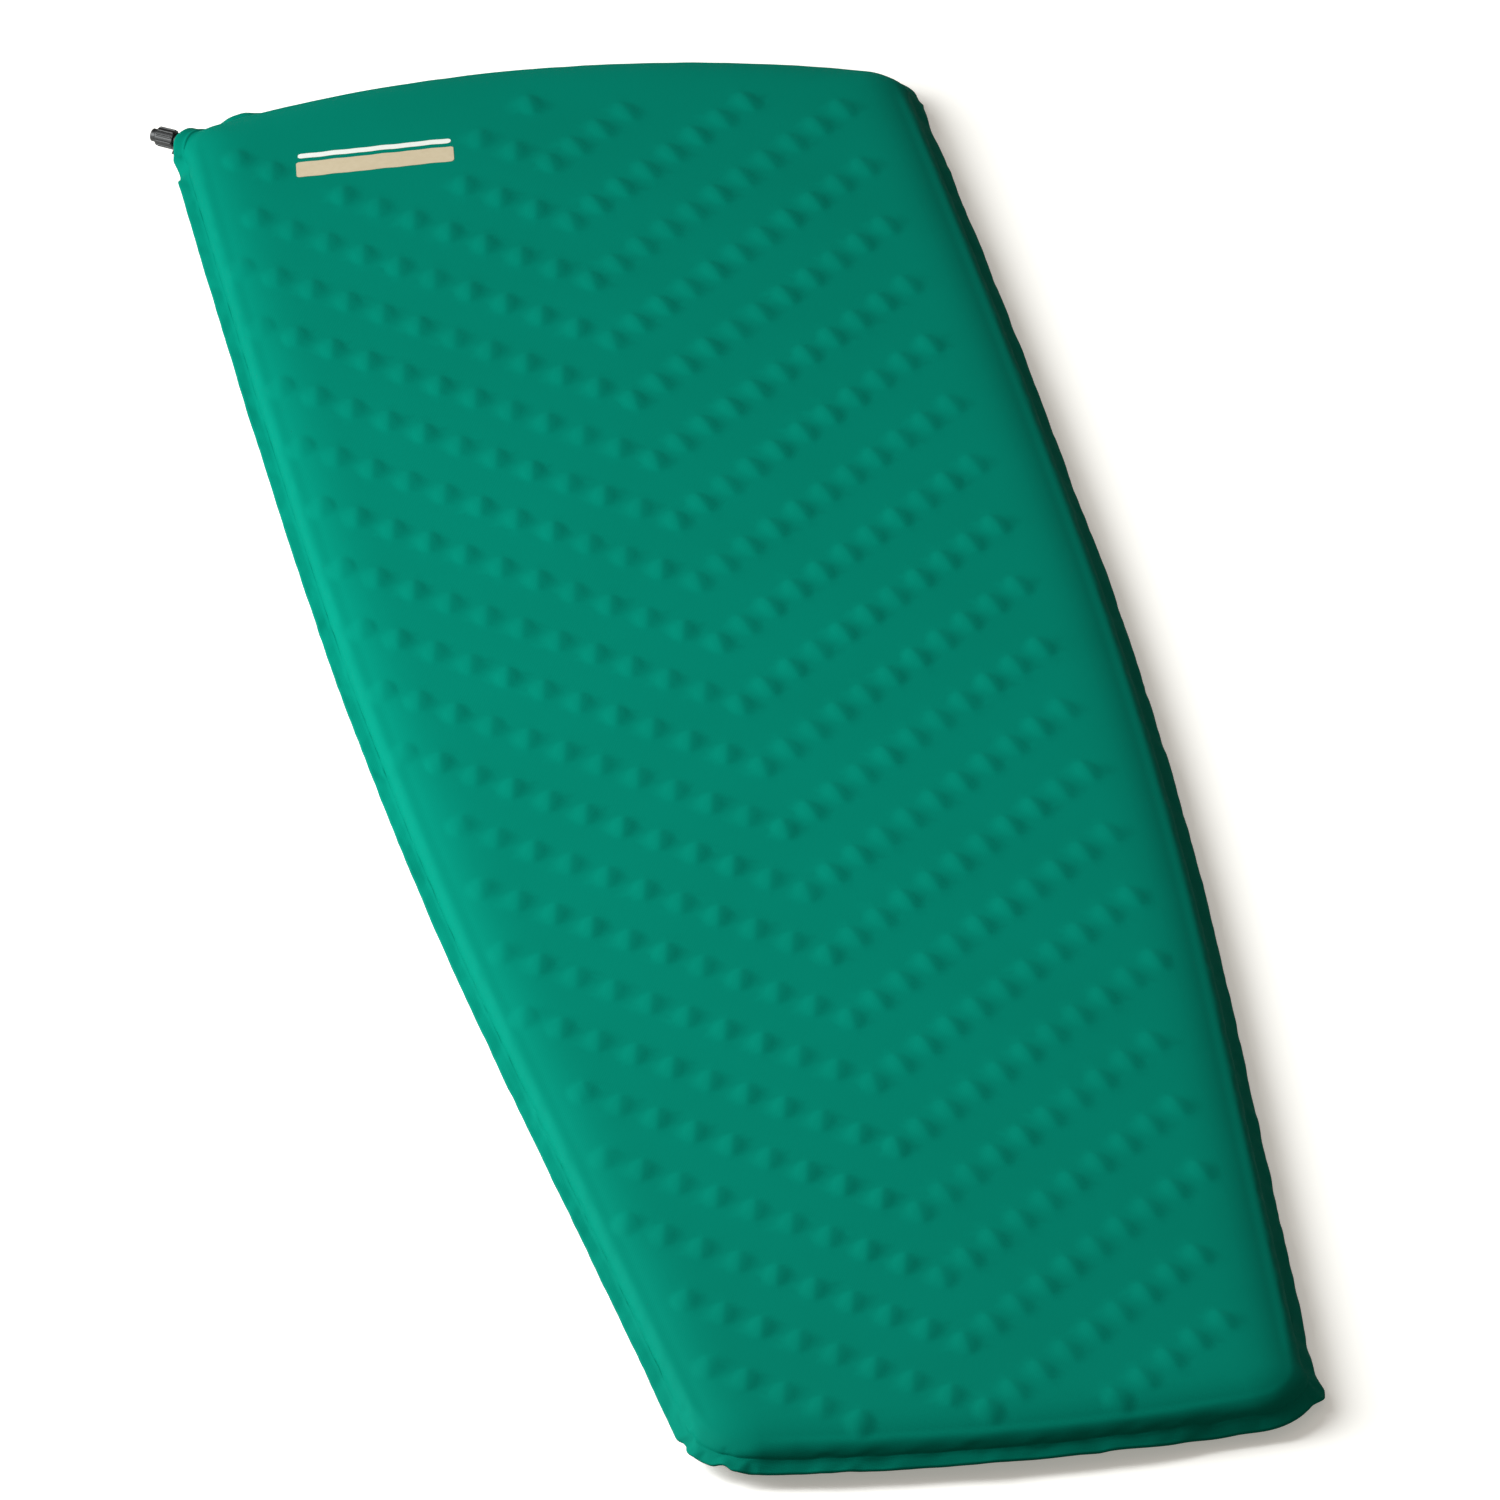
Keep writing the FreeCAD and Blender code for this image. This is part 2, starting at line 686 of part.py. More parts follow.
def valve_cap(label):
    """Twist cap with grip ribs and a mouthpiece, open through its middle."""
    body = turned_piece(
        label,
        [
            ("Sizes.cap_bore", "Sizes.cap_start"),
            ("Sizes.cap_radius - Sizes.cap_chamfer", "Sizes.cap_start"),
            ("Sizes.cap_radius", "Sizes.cap_start + Sizes.cap_chamfer"),
            ("Sizes.cap_radius", "Sizes.cap_shoulder"),
            ("Sizes.nozzle_radius", "Sizes.cap_shoulder + 2 * Sizes.cap_chamfer"),
            ("Sizes.nozzle_radius", "Sizes.cap_end - Sizes.cap_chamfer"),
            ("Sizes.nozzle_radius - Sizes.cap_chamfer", "Sizes.cap_end"),
            ("Sizes.cap_hole", "Sizes.cap_end"),
            ("Sizes.cap_hole", "Sizes.cap_ceiling"),
            ("Sizes.cap_bore", "Sizes.cap_ceiling"),
        ],
    )
    grip = new_sketch(body, f"{label}_grip", height="Sizes.grip_start")
    add_circle(grip, "Sizes.grip_radius", "radius", "Sizes.cap_radius")
    rib = pad_feature(body, grip, "Sizes.grip_end - Sizes.grip_start", "Grip")
    polar_pattern(body, rib, grip, "Sizes.grip_count")
    return body


# ---------------------------------------------------------------- build


def build():
    fill_sheet()
    parts = {
        "foam_core": foam_core("foam_core"),
        "top_fabric": fabric("top_fabric", True),
        "bottom_fabric": fabric("bottom_fabric", False),
        "label_band": label_plate("label_band", "label_width", "label_height", "0"),
        "label_stripe": label_plate(
            "label_stripe",
            "stripe_width",
            "stripe_height",
            "Sizes.label_height / 2 + Sizes.stripe_gap + Sizes.stripe_height / 2",
        ),
        "valve_body": valve_body("valve_body"),
        "stem_oring": o_ring("stem_oring", "stem_radius", "stem_ring_wire", "stem_ring_at"),
        "plug_oring": o_ring("plug_oring", "plug_radius", "post_ring_wire", "post_ring_at"),
        "cap_seal": cap_seal("cap_seal"),
        "valve_cap": valve_cap("valve_cap"),
    }
    doc.recompute()
    return parts


def check(parts):
    """Stops the script if any object failed or any piece isn't one sound solid."""
    for item in doc.Objects:
        for state in ("Invalid", "Error"):
            if state in item.State:
                raise RuntimeError(f"{item.Name} is {state}")
    for name, part in parts.items():
        shape = part.Shape
        if shape.isNull() or not shape.isValid() or len(shape.Solids) != 1:
            raise RuntimeError(f"{name} isn't one sound solid")


def write(parts):
    os.makedirs("parts", exist_ok=True)
    for name, part in parts.items():
        part.Shape.exportStep(f"parts/{name}.step")
        box = part.Shape.BoundBox
        print(f"{name}: {box.XLength:.1f} x {box.YLength:.1f} x {box.ZLength:.1f} mm")


pieces = build()
check(pieces)
write(pieces)
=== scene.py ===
# %% [markdown]
# # A self-inflating sleeping pad
# The real pad is two sheets of coated polyester, welded together all round over a slab of die-cut
# foam. A black twist valve sits in the corner at the head end, on the left. This lesson builds
# each of these as its own object around the engineering model, which is the fixed frame: every
# place and size here comes from it. Lengths are in metres, +Z is up and +Y points to the head.

import math

import bpy
import numpy as np
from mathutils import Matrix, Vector, noise
from mathutils.geometry import delaunay_2d_cdt


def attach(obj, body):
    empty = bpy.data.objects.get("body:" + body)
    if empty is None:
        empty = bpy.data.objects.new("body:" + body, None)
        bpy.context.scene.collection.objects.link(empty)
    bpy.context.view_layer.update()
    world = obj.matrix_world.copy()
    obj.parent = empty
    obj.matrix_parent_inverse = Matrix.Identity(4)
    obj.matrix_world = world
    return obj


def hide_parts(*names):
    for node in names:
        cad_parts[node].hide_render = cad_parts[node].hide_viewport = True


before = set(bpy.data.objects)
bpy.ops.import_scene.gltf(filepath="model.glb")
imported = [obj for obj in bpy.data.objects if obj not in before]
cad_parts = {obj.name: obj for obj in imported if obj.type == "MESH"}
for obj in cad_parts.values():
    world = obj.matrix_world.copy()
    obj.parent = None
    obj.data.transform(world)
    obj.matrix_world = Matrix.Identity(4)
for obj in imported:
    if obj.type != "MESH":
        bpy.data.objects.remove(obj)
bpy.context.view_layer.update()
MM = 0.001

# %% [markdown]
# ## Small helpers
# Three things come back in every cell: a colour written as the hex value that a colour picker
# shows, a node with its settings and links, and an object made of points and faces. Blender's
# shaders work on linear light, so the hex colour is turned to linear in one place.


# %% Colour, node and object helpers
def linear(hex_colour):
    """An sRGB hex colour as linear RGBA."""
    channels = [int(hex_colour[i : i + 2], 16) / 255 for i in (1, 3, 5)]
    return [c / 12.92 if c <= 0.04045 else ((c + 0.055) / 1.055) ** 2.4 for c in channels] + [1.0]


def add_node(tree, kind, inputs=None, **settings):
    """One node with its settings; an input is a value, or a socket to link from."""
    node = tree.nodes.new(kind)
    for name, setting in settings.items():
        setattr(node, name, setting)
    for socket, source in (inputs or {}).items():
        if isinstance(source, bpy.types.NodeSocket):
            tree.links.new(source, node.inputs[socket])
        else:
            node.inputs[socket].default_value = source
    return node


def mesh_object(name, points, faces, smooth=True):
    mesh = bpy.data.meshes.new(name)
    mesh.from_pydata([tuple(map(float, p)) for p in points], [], faces)
    mesh.validate()
    mesh.polygons.foreach_set("use_smooth", [smooth] * len(mesh.polygons))
    made = bpy.data.objects.new(name, mesh)
    bpy.context.collection.objects.link(made)
    return made


def apply_modifiers(made):
    """Turns the evaluated object into a plain mesh and takes its modifiers off."""
    depsgraph = bpy.context.evaluated_depsgraph_get()
    mesh = bpy.data.meshes.new_from_object(made.evaluated_get(depsgraph))
    mesh.name = made.name
    made.modifiers.clear()
    made.data = mesh
    return made


def put_numbers(mesh, name, kind, numbers):
    """Stores one number or vector for each point of a mesh, for nodes to read."""
    layer = mesh.attributes.new(name, kind, "POINT")
    field = "vector" if kind == "FLOAT_VECTOR" else "value"
    layer.data.foreach_set(field, np.ascontiguousarray(numbers, dtype=np.float32).ravel())


# %% [markdown]
# ## The outline
# A pad is cut to a smooth tapered outline: a shallow arc at the head, rounded corners, sides that
# bow gently to the widest place, straight lower sides and a shallow arc at the foot. It could be
# traced by hand as a Bezier curve. Here it is worked out from the same radii as the engineering
# model, because arcs that share their centres can be moved inwards exactly, point for point, and
# that gives clean rings of faces round the edge.

# %% Outline sizes
PAD_LENGTH = 1.830
PAD_WIDTH = 0.522
PAD_THICKNESS = 0.028
HEAD_RADIUS = 0.640
HEAD_CORNER = 0.045
SHOULDER_RADIUS = 24.0
WIDEST_AT = 0.250
FLANK_RADIUS = 9.0
FLANK_END = -0.400
FOOT_CORNER = 0.055
FOOT_RADIUS = 1.100
SIDE_STEP = 0.0062
CORNER_STEP = 0.0030

half_length = PAD_LENGTH / 2
half_width = PAD_WIDTH / 2
head_centre = np.array([0.0, half_length - HEAD_RADIUS])
foot_centre = np.array([0.0, FOOT_RADIUS - half_length])
shoulder_centre = np.array([half_width - SHOULDER_RADIUS, WIDEST_AT])
flank_centre = np.array([half_width - FLANK_RADIUS, WIDEST_AT])


def direction(angle):
    return np.array([math.cos(angle), math.sin(angle)])


def angle_from(centre, point):
    return math.atan2(point[1] - centre[1], point[0] - centre[0])


# %% Centres of the two corner arcs
gap = shoulder_centre - head_centre
distance = float(np.hypot(*gap))
head_reach = HEAD_RADIUS - HEAD_CORNER
shoulder_reach = SHOULDER_RADIUS - HEAD_CORNER
along = (distance**2 + head_reach**2 - shoulder_reach**2) / (2 * distance)
aside = math.sqrt(head_reach**2 - along**2)
ahead = gap / distance
head_corner = head_centre + ahead * along + np.array([ahead[1], -ahead[0]]) * aside

flank_angle = -math.asin((WIDEST_AT - FLANK_END) / FLANK_RADIUS)
flank_down = np.array([math.sin(flank_angle), -math.cos(flank_angle)])
inner_start = flank_centre + direction(flank_angle) * (FLANK_RADIUS - FOOT_CORNER)
offset = inner_start - foot_centre
half_chord = float(offset @ flank_down)
reach = math.sqrt(half_chord**2 - offset @ offset + (FOOT_RADIUS - FOOT_CORNER) ** 2)
foot_corner = inner_start + flank_down * (reach - half_chord)
print("head corner centre", head_corner.round(4), "foot corner centre", foot_corner.round(4))


# %% Points and outward directions along the outline
def along_arc(centre, radius, start, end, step):
    count = max(2, round(abs(end - start) * radius / step))
    angles = start + (end - start) * np.arange(count) / count
    outward = np.stack([np.cos(angles), np.sin(angles)], axis=1)
    return centre + radius * outward, outward


def along_line(start, end, outward, step):
    count = max(2, round(float(np.hypot(*(end - start))) / step))
    share = np.arange(count)[:, None] / count
    return start + (end - start) * share, np.repeat(outward[None, :], count, axis=0)


foot_angle = angle_from(foot_centre, foot_corner)
head_angle = angle_from(head_centre, head_corner)
shoulder_angle = angle_from(shoulder_centre, head_corner)
side_out = direction(flank_angle)
runs = [
    along_arc(foot_centre, FOOT_RADIUS, -math.pi / 2, foot_angle, SIDE_STEP),
    along_arc(foot_corner, FOOT_CORNER, foot_angle, flank_angle, CORNER_STEP),
    along_line(
        foot_corner + side_out * FOOT_CORNER,
        flank_centre + side_out * FLANK_RADIUS,
        side_out,
        SIDE_STEP,
    ),
    along_arc(flank_centre, FLANK_RADIUS, flank_angle, 0.0, SIDE_STEP),
    along_arc(shoulder_centre, SHOULDER_RADIUS, 0.0, shoulder_angle, SIDE_STEP),
    along_arc(head_corner, HEAD_CORNER, shoulder_angle, head_angle, CORNER_STEP),
    along_arc(head_centre, HEAD_RADIUS, head_angle, math.pi / 2, SIDE_STEP),
]
right_edge = np.concatenate([points for points, _ in runs] + [[[0.0, half_length]]])
right_out = np.concatenate([outward for _, outward in runs] + [[[0.0, 1.0]]])
MIRROR = np.array([-1.0, 1.0])
edge = np.concatenate([right_edge, (right_edge * MIRROR)[-2:0:-1]])
outward = np.concatenate([right_out, (right_out * MIRROR)[-2:0:-1]])
edge_count = len(edge)
print("points round the edge:", edge_count, "extent", np.ptp(edge, axis=0).round(4))

# %% [markdown]
# ## The free band of fabric between the foam and the weld
# The fabric is bonded to the foam over nearly the whole pad. Only a band about 20 mm wide round
# the edge is free: from the foam's rim the two sheets bulge out, come together in a weld 9 mm
# wide, and end in a cut edge. The band could be modelled as a fixed profile swept round the
# outline, but then its weld would be as smooth as a pipe. A real weld puckers, because its
# length was cut for a flat sheet. So the swept profile is only the start of a cloth simulation:
# the sheets start slack, and air pressure fills them while the bonded part is held still.

# %% Rings of the band
WELD_WIDTH = 0.0088
WALL_WIDTH = 0.040
WALL_FULLNESS = 2.1
WELD_DROOP = 0.34
MORE_DROOP = 0.36
HANG_TOWARDS = np.array([0.8, -0.6])
FABRIC = 0.0006
SEAM_HEIGHT = PAD_THICKNESS / 2


def rise_at(inset):
    """Height of the dome of the fabric's inner face above the weld."""
    share = np.clip((inset - WELD_WIDTH) / WALL_WIDTH, 0, 1)
    dome = (1 - (1 - share) ** WALL_FULLNESS) ** (1 / WALL_FULLNESS)
    return (SEAM_HEIGHT - FABRIC) * dome


def droop_at(inset):
    """How far the free weld hangs below the middle of the pad; it hangs most at right and foot."""
    hang = np.clip(outward @ HANG_TOWARDS, 0, 1)
    return np.maximum(WELD_WIDTH - inset, 0) * (WELD_DROOP + MORE_DROOP * hang)


# How far inside the cut edge each ring lies: over the weld, up the wall, then on the foam.
flange_insets = np.array([0.0, 0.0030, 0.0058, 0.0078, WELD_WIDTH])
wall_insets = np.array([0.0092, 0.0102, 0.0120, 0.0145, 0.0172])
bonded_insets = np.array([0.0205, 0.0245, 0.0290, 0.0328, 0.0366])
insets = np.concatenate([flange_insets, wall_insets, bonded_insets])
bonded_count = len(bonded_insets)
weld_ring = len(flange_insets) - 1
ring_count = len(insets)
print("rings from the cut edge to the bonded foam:", (insets / MM).round(1))
print("their heights:", (rise_at(insets) / MM).round(1))


def ring(inset, side):
    flat = edge - outward * inset
    return np.column_stack([flat, SEAM_HEIGHT - droop_at(inset) + side * rise_at(inset)])


def grid_faces(first, second, flip=False):
    """Quads between two rings of point numbers."""
    step = np.roll(np.arange(edge_count), -1)
    quads = np.stack([first, first[step], second[step], second], axis=1)
    return [tuple(q[::-1]) if flip else tuple(q) for q in quads.tolist()]


upper = np.stack([ring(t, 1) for t in insets])
lower = np.stack([ring(t, -1) for t in insets])

# %% [markdown]
# ## Inflating the band
# The rest lengths of the cloth come from a shape key, "panel as cut": the sheets before they were
# pulled round the foam, a few millimetres wider than the inflated pad. At the corners that makes
# the weld too long for its place, so it ripples, as it does on every pad of this kind. On the
# long sides there is nothing to gather, and the weld stays nearly straight.

# %% Cloth simulation
AIR_PRESSURE = 30.0
CUT_WIDER = 0.0045
CLOTH_FRAMES = 18
TIME_SCALE = 3.0
LONGEST_MOVE = 0.003
RIPPLE = 0.0011
RIPPLE_LENGTH = 0.017


def ripple(points, free):
    """Small fixed unevenness that lets the slack weld choose where to fold."""
    moved = points.copy()
    waves = [noise.noise(Vector(place / RIPPLE_LENGTH)) for place in points]
    moved[:, 2] += RIPPLE * np.array(waves) * free
    return moved


def inflate(upper, lower):
    """Runs the cloth on both sheets and their shared weld, and returns them settled."""
    lower_free = lower[weld_ring + 1 :].reshape(-1, 3)
    start = np.concatenate([upper.reshape(-1, 3), lower_free])
    numbers = np.arange(ring_count * edge_count).reshape(ring_count, edge_count)
    below = numbers[weld_ring + 1 :] + (ring_count - weld_ring - 1) * edge_count
    faces = []
    for a, b in zip(numbers[:-1], numbers[1:]):
        faces += grid_faces(a, b)
    for a, b in zip([numbers[weld_ring], *below[:-1]], below):
        faces += grid_faces(a, b, flip=True)
    loose = np.clip((bonded_insets[0] - insets) / (bonded_insets[0] - WELD_WIDTH), 0, 1)
    free = np.repeat(np.concatenate([loose, loose[weld_ring + 1 :]]), edge_count)
    sheets = mesh_object("casing_before_air", ripple(start, free), faces)
    wider = loose * CUT_WIDER
    cut_upper = upper + np.pad(outward, ((0, 0), (0, 1)))[None] * wider[:, None, None]
    cut_lower = lower + np.pad(outward, ((0, 0), (0, 1)))[None] * wider[:, None, None]
    cut = np.concatenate([cut_upper.reshape(-1, 3), cut_lower[weld_ring + 1 :].reshape(-1, 3)])
    sheets.shape_key_add(name="start")
    as_cut = sheets.shape_key_add(name="panel as cut")
    as_cut.data.foreach_set("co", cut.astype(np.float32).ravel())
    bonded = sheets.vertex_groups.new(name="bonded")
    held = [rows[-bonded_count:].ravel().tolist() for rows in (numbers, below)]
    bonded.add(held[0] + held[1], 1.0, "REPLACE")
    inflated = sheets.vertex_groups.new(name="inflated")
    inflated.add(numbers[weld_ring:].ravel().tolist() + below.ravel().tolist(), 1.0, "REPLACE")
    cloth = sheets.modifiers.new("air", "CLOTH")
    cloth.settings.quality = 4
    cloth.settings.mass = 0.02
    cloth.settings.time_scale = TIME_SCALE
    cloth.settings.tension_stiffness = 40
    cloth.settings.compression_stiffness = 40
    cloth.settings.shear_stiffness = 15
    cloth.settings.bending_stiffness = 0.05
    cloth.settings.use_pressure = True
    cloth.settings.uniform_pressure_force = AIR_PRESSURE
    cloth.settings.vertex_group_pressure = "inflated"
    cloth.settings.vertex_group_mass = "bonded"
    cloth.settings.rest_shape_key = as_cut
    cloth.settings.effector_weights.gravity = 0
    cloth.collision_settings.use_collision = False
    cloth.point_cache.frame_end = CLOTH_FRAMES
    for step in range(1, CLOTH_FRAMES + 1):
        bpy.context.scene.frame_set(step)
    depsgraph = bpy.context.evaluated_depsgraph_get()
    settled = sheets.evaluated_get(depsgraph).to_mesh()
    places = np.empty(len(settled.vertices) * 3)
    settled.vertices.foreach_get("co", places)
    move = places.reshape(-1, 3) - start
    far = np.linalg.norm(move, axis=1, keepdims=True)
    room = LONGEST_MOVE * np.clip((bonded_insets[0] - insets) / bonded_insets[0], 0, 1)
    room = np.repeat(np.concatenate([room, room[weld_ring + 1 :]]), edge_count)[:, None]
    move *= np.minimum(1, room / np.maximum(far, 1e-9))
    bpy.data.objects.remove(sheets)
    bpy.context.scene.frame_set(1)
    print("cloth moved up to", (far.max() / MM).round(2), "mm, mean", (far.mean() / MM).round(2))
    whole = start + move
    new_upper = whole[: ring_count * edge_count].reshape(upper.shape)
    new_free = whole[ring_count * edge_count :].reshape(-1, edge_count, 3)
    return new_upper, np.concatenate([new_upper[: weld_ring + 1], new_free])


upper, lower = inflate(upper, lower)

# %% [markdown]
# ## Folds that handling leaves
# No two corners of a used pad are alike. The weld stands out in an ear at the foot's right
# corner, bellies out at the head's right corner, ruffles beside the valve and is tucked in just
# below it. Each is a soft push on the free band, strongest at its own place on the edge.

# %% Push the weld's folds
FOLD_DEPTH = 0.013
FOLDS = {
    # place on the outline, then reach outwards, half length along the edge, and lift
    "ear at the foot": ((0.2040, -0.8600), 0.0058, 0.013, -0.0020),
    "belly at the head": ((0.2480, 0.8480), 0.0025, 0.018, -0.0010),
    "ruffle beside the valve": ((-0.2020, 0.8830), 0.0020, 0.013, 0.0035),
    "tuck below the valve": ((-0.2530, 0.8200), -0.0035, 0.010, -0.0030),
    "pucker at the foot": ((-0.2020, -0.8620), -0.0020, 0.006, 0.0015),
    "second pucker": ((-0.1820, -0.8920), -0.0018, 0.005, 0.0012),
}
edge_steps = np.hypot(*(np.roll(edge, -1, axis=0) - edge).T)
edge_way = np.concatenate([[0], np.cumsum(edge_steps)[:-1]])
perimeter = float(edge_steps.sum())


def push_folds(sheet):
    for (x, y), fold_reach, half, fold_lift in FOLDS.values():
        nearest = int(np.argmin(np.hypot(edge[:, 0] - x, edge[:, 1] - y)))
        way = np.abs(edge_way - edge_way[nearest])
        way = np.minimum(way, perimeter - way)
        bell = np.exp(-(np.abs(way / half) ** 3))
        fade = np.clip(1 - insets / FOLD_DEPTH, 0, 1)[:, None]
        sheet[..., :2] += outward[None] * (fold_reach * fade * bell)[..., None]
        sheet[..., 2] += fold_lift * fade * bell


push_folds(upper)
push_folds(lower)
print("folds pushed:", len(FOLDS), "perimeter", round(perimeter, 3))

# %% [markdown]
# ## Room for the valve
# The valve's base is a lens-shaped block, called a boat, 36 mm wide and 12 mm high. It is welded
# between the two sheets, which part over it and close again at its tips. The sheets are pushed
# apart here by a rule, because a simulation would need the boat as a collider for one small place.

# %% Part the sheets over the boat
BOAT_HALF_WIDTH = 0.018
BOAT_HALF_HEIGHT = 0.006
BOAT_GAP = 0.0002
BOAT_STARTS = 0.020
BOAT_FADES_IN = 0.006
WELD_RECOVERS = 0.014
boat_radius = (BOAT_HALF_WIDTH**2 + BOAT_HALF_HEIGHT**2) / (2 * BOAT_HALF_HEIGHT)
VALVE_ANGLE = math.radians(144)
valve_out = direction(VALVE_ANGLE)
valve_side = np.array([-valve_out[1], valve_out[0]])
valve_corner = head_corner * MIRROR


def boat_rise(points):
    """Height of the boat's surface above its middle plane, under each point."""
    flat = points[..., :2] - valve_corner
    aside = flat @ valve_side
    ahead = flat @ valve_out
    arc = np.sqrt(np.maximum(boat_radius**2 - aside**2, 0)) - boat_radius + BOAT_HALF_HEIGHT
    near = np.clip((ahead - BOAT_STARTS) / BOAT_FADES_IN, 0, 1)
    return np.maximum(arc + BOAT_GAP, 0) * near


def smooth_max(a, b, blend=0.0012):
    return (a + b + np.sqrt((a - b) ** 2 + blend**2)) / 2


def hold_weld_up(sheet):
    """The stiff boat keeps the weld beside it from hanging, and this fades out past its tips."""
    weld = sheet[: weld_ring + 1]
    flat = weld[..., :2] - valve_corner
    past_tip = np.abs(flat @ valve_side) - BOAT_HALF_WIDTH
    held = np.clip(1 - past_tip / WELD_RECOVERS, 0, 1) * (flat @ valve_out > 0)
    held = held**2 * (3 - 2 * held)
    weld[..., 2] -= np.minimum(weld[..., 2] - SEAM_HEIGHT, 0) * held


hold_weld_up(upper)
hold_weld_up(lower)

lift = boat_rise(upper)
parted = smooth_max(upper[..., 2] - SEAM_HEIGHT, lift)
upper[..., 2] = np.where(lift > 0, SEAM_HEIGHT + parted, upper[..., 2])
drop = boat_rise(lower)
parted = smooth_max(SEAM_HEIGHT - lower[..., 2], drop)
lower[..., 2] = np.where(drop > 0, SEAM_HEIGHT - parted, lower[..., 2])
print("sheets part over", int((lift[0] > 0).sum()), "points of the cut edge")

# %% [markdown]
# ## One subdivision of the band
# The simulated band is coarse, so each ring and each gap between points is halved once. The new
# points lie on a smooth curve through their four neighbours, which keeps every simulated point
# where it was. A Subdivision Surface modifier would do the same, but it would pull the cut edge in.
# Where the hot bar of the welding press ends, it leaves a thin bead in the cloth, which is added
# to the fine rings.


# %% Halve the grid both ways
BEAD_HEIGHT = 0.0006
BEAD_INSET = 0.0084
BEAD_WIDTH = 0.0007
MOST_BEND = 0.25


def between(a, b, c, d):
    """The point halfway from b to c on a curve through all four."""
    bend = (b + c - a - d) / 16
    room = MOST_BEND * np.linalg.norm(c - b, axis=-1, keepdims=True)
    size = np.linalg.norm(bend, axis=-1, keepdims=True)
    return (b + c) / 2 + bend * np.minimum(1, room / np.maximum(size, 1e-9))


def refine(sheet):
    around = np.empty((len(sheet), 2 * edge_count, 3))
    around[:, 0::2] = sheet
    around[:, 1::2] = between(
        np.roll(sheet, 1, axis=1), sheet, np.roll(sheet, -1, axis=1), np.roll(sheet, -2, axis=1)
    )
    first = 2 * around[:1] - around[1:2]
    last = 2 * around[-1:] - around[-2:-1]
    padded = np.concatenate([first, around, last])
    fine = np.empty((2 * len(sheet) - 1, 2 * edge_count, 3))
    fine[0::2] = around
    fine[1::2] = between(padded[:-3], padded[1:-2], padded[2:-1], padded[3:])
    return fine


upper_band = refine(upper)
lower_band = refine(lower)
fine_insets = np.interp(np.arange(len(upper_band)) / 2, np.arange(ring_count), insets)
bead = BEAD_HEIGHT * np.exp(-(((fine_insets - BEAD_INSET) / BEAD_WIDTH) ** 2))
upper_band[..., 2] += bead[:, None]
lower_band[..., 2] -= bead[:, None]
print("band grid:", upper_band.shape[:2])

# %% [markdown]
# ## Where the core is slotted
# The foam slab is die-cut: rows of short slots in a V that points at the foot. Under pressure the
# fabric rises into a small tent over each slot. The places follow the same rule as in the
# engineering model, and some are left out near the edge, the head, the foot and the label.

# %% Slot rule
COLUMN_PITCH = 0.0205
ROW_PITCH = 0.082
SLOT_LEAN = math.radians(11)
VEE_SHIFT = -0.010
LAST_VEE = -0.880
LEFT_MARGIN = 0.022
RIGHT_MARGIN = 0.046
HEAD_MARGIN = 0.072
FOOT_MARGIN = 0.028
LABEL_CENTRE = np.array([-0.125, 0.782])
LABEL_SIZE = np.array([0.107, 0.020])
LABEL_CLEAR = 0.014
CLEAR_ABOVE_LABEL = 0.042
STRIPE_SIZE = np.array([0.104, 0.006])
STRIPE_GAP = 0.005


def half_width_at(y):
    if y < foot_corner[1]:
        return foot_corner[0] + math.sqrt(max(0.0, FOOT_CORNER**2 - (foot_corner[1] - y) ** 2))
    flank_joint = flank_centre + side_out * FLANK_RADIUS
    if y < flank_joint[1]:
        return flank_joint[0] + (y - flank_joint[1]) * math.tan(-flank_angle)
    centre, radius = (flank_centre, FLANK_RADIUS) if y < WIDEST_AT else (shoulder_centre, SHOULDER_RADIUS)
    return centre[0] + math.sqrt(radius**2 - (y - centre[1]) ** 2)


def slot_fits(x, y):
    margin = LEFT_MARGIN if x < 0 else RIGHT_MARGIN
    head_edge = head_centre[1] + math.sqrt(HEAD_RADIUS**2 - x**2)
    foot_edge = foot_centre[1] - math.sqrt(FOOT_RADIUS**2 - x**2)
    across = abs(x - LABEL_CENTRE[0]) < LABEL_SIZE[0] / 2 + LABEL_CLEAR
    label_top = STRIPE_GAP + STRIPE_SIZE[1] + CLEAR_ABOVE_LABEL
    along = -LABEL_SIZE[1] / 2 - LABEL_CLEAR < y - LABEL_CENTRE[1] < label_top
    return (
        abs(x) < half_width_at(y) - margin
        and foot_edge + FOOT_MARGIN < y < head_edge - HEAD_MARGIN
        and not (across and along)
    )


slots = {}
last_column = int(half_width / COLUMN_PITCH)
for column in range(-last_column, last_column + 1):
    for row in range(-2, int(PAD_LENGTH / ROW_PITCH) + 3):
        x = VEE_SHIFT + column * COLUMN_PITCH
        y = LAST_VEE + row * ROW_PITCH + abs(column) * COLUMN_PITCH
        if abs(y) < half_length and slot_fits(x, y):
            slots[column, row] = (x, y, SLOT_LEAN * np.sign(column))
print("slots:", len(slots))

# %% [markdown]
# ## The sleeping surface
# Inside the band the surface is a flat field with a tent over each slot. A fine square grid would
# need a million faces to show the crisp crests. A constrained triangulation puts the points where
# the shape needs them: a small net of points over each slot, and few in between.

# %% Points inside the band
ACROSS_SLOT = np.array([-9.4, -6.2, -3.4, -1.5, 0.0, 1.5, 3.4, 6.2, 9.4]) * MM
ALONG_SLOT = np.array([-15.0, -10.5, -5.5, 0.0, 5.5, 10.5, 15.0]) * MM
FILL_STEP = 0.0098
INNER_CLEAR = 0.0035
NET_CLEAR = 0.003
inner_loop = upper_band[-1, :, :2]
inner_inset = insets[-1]


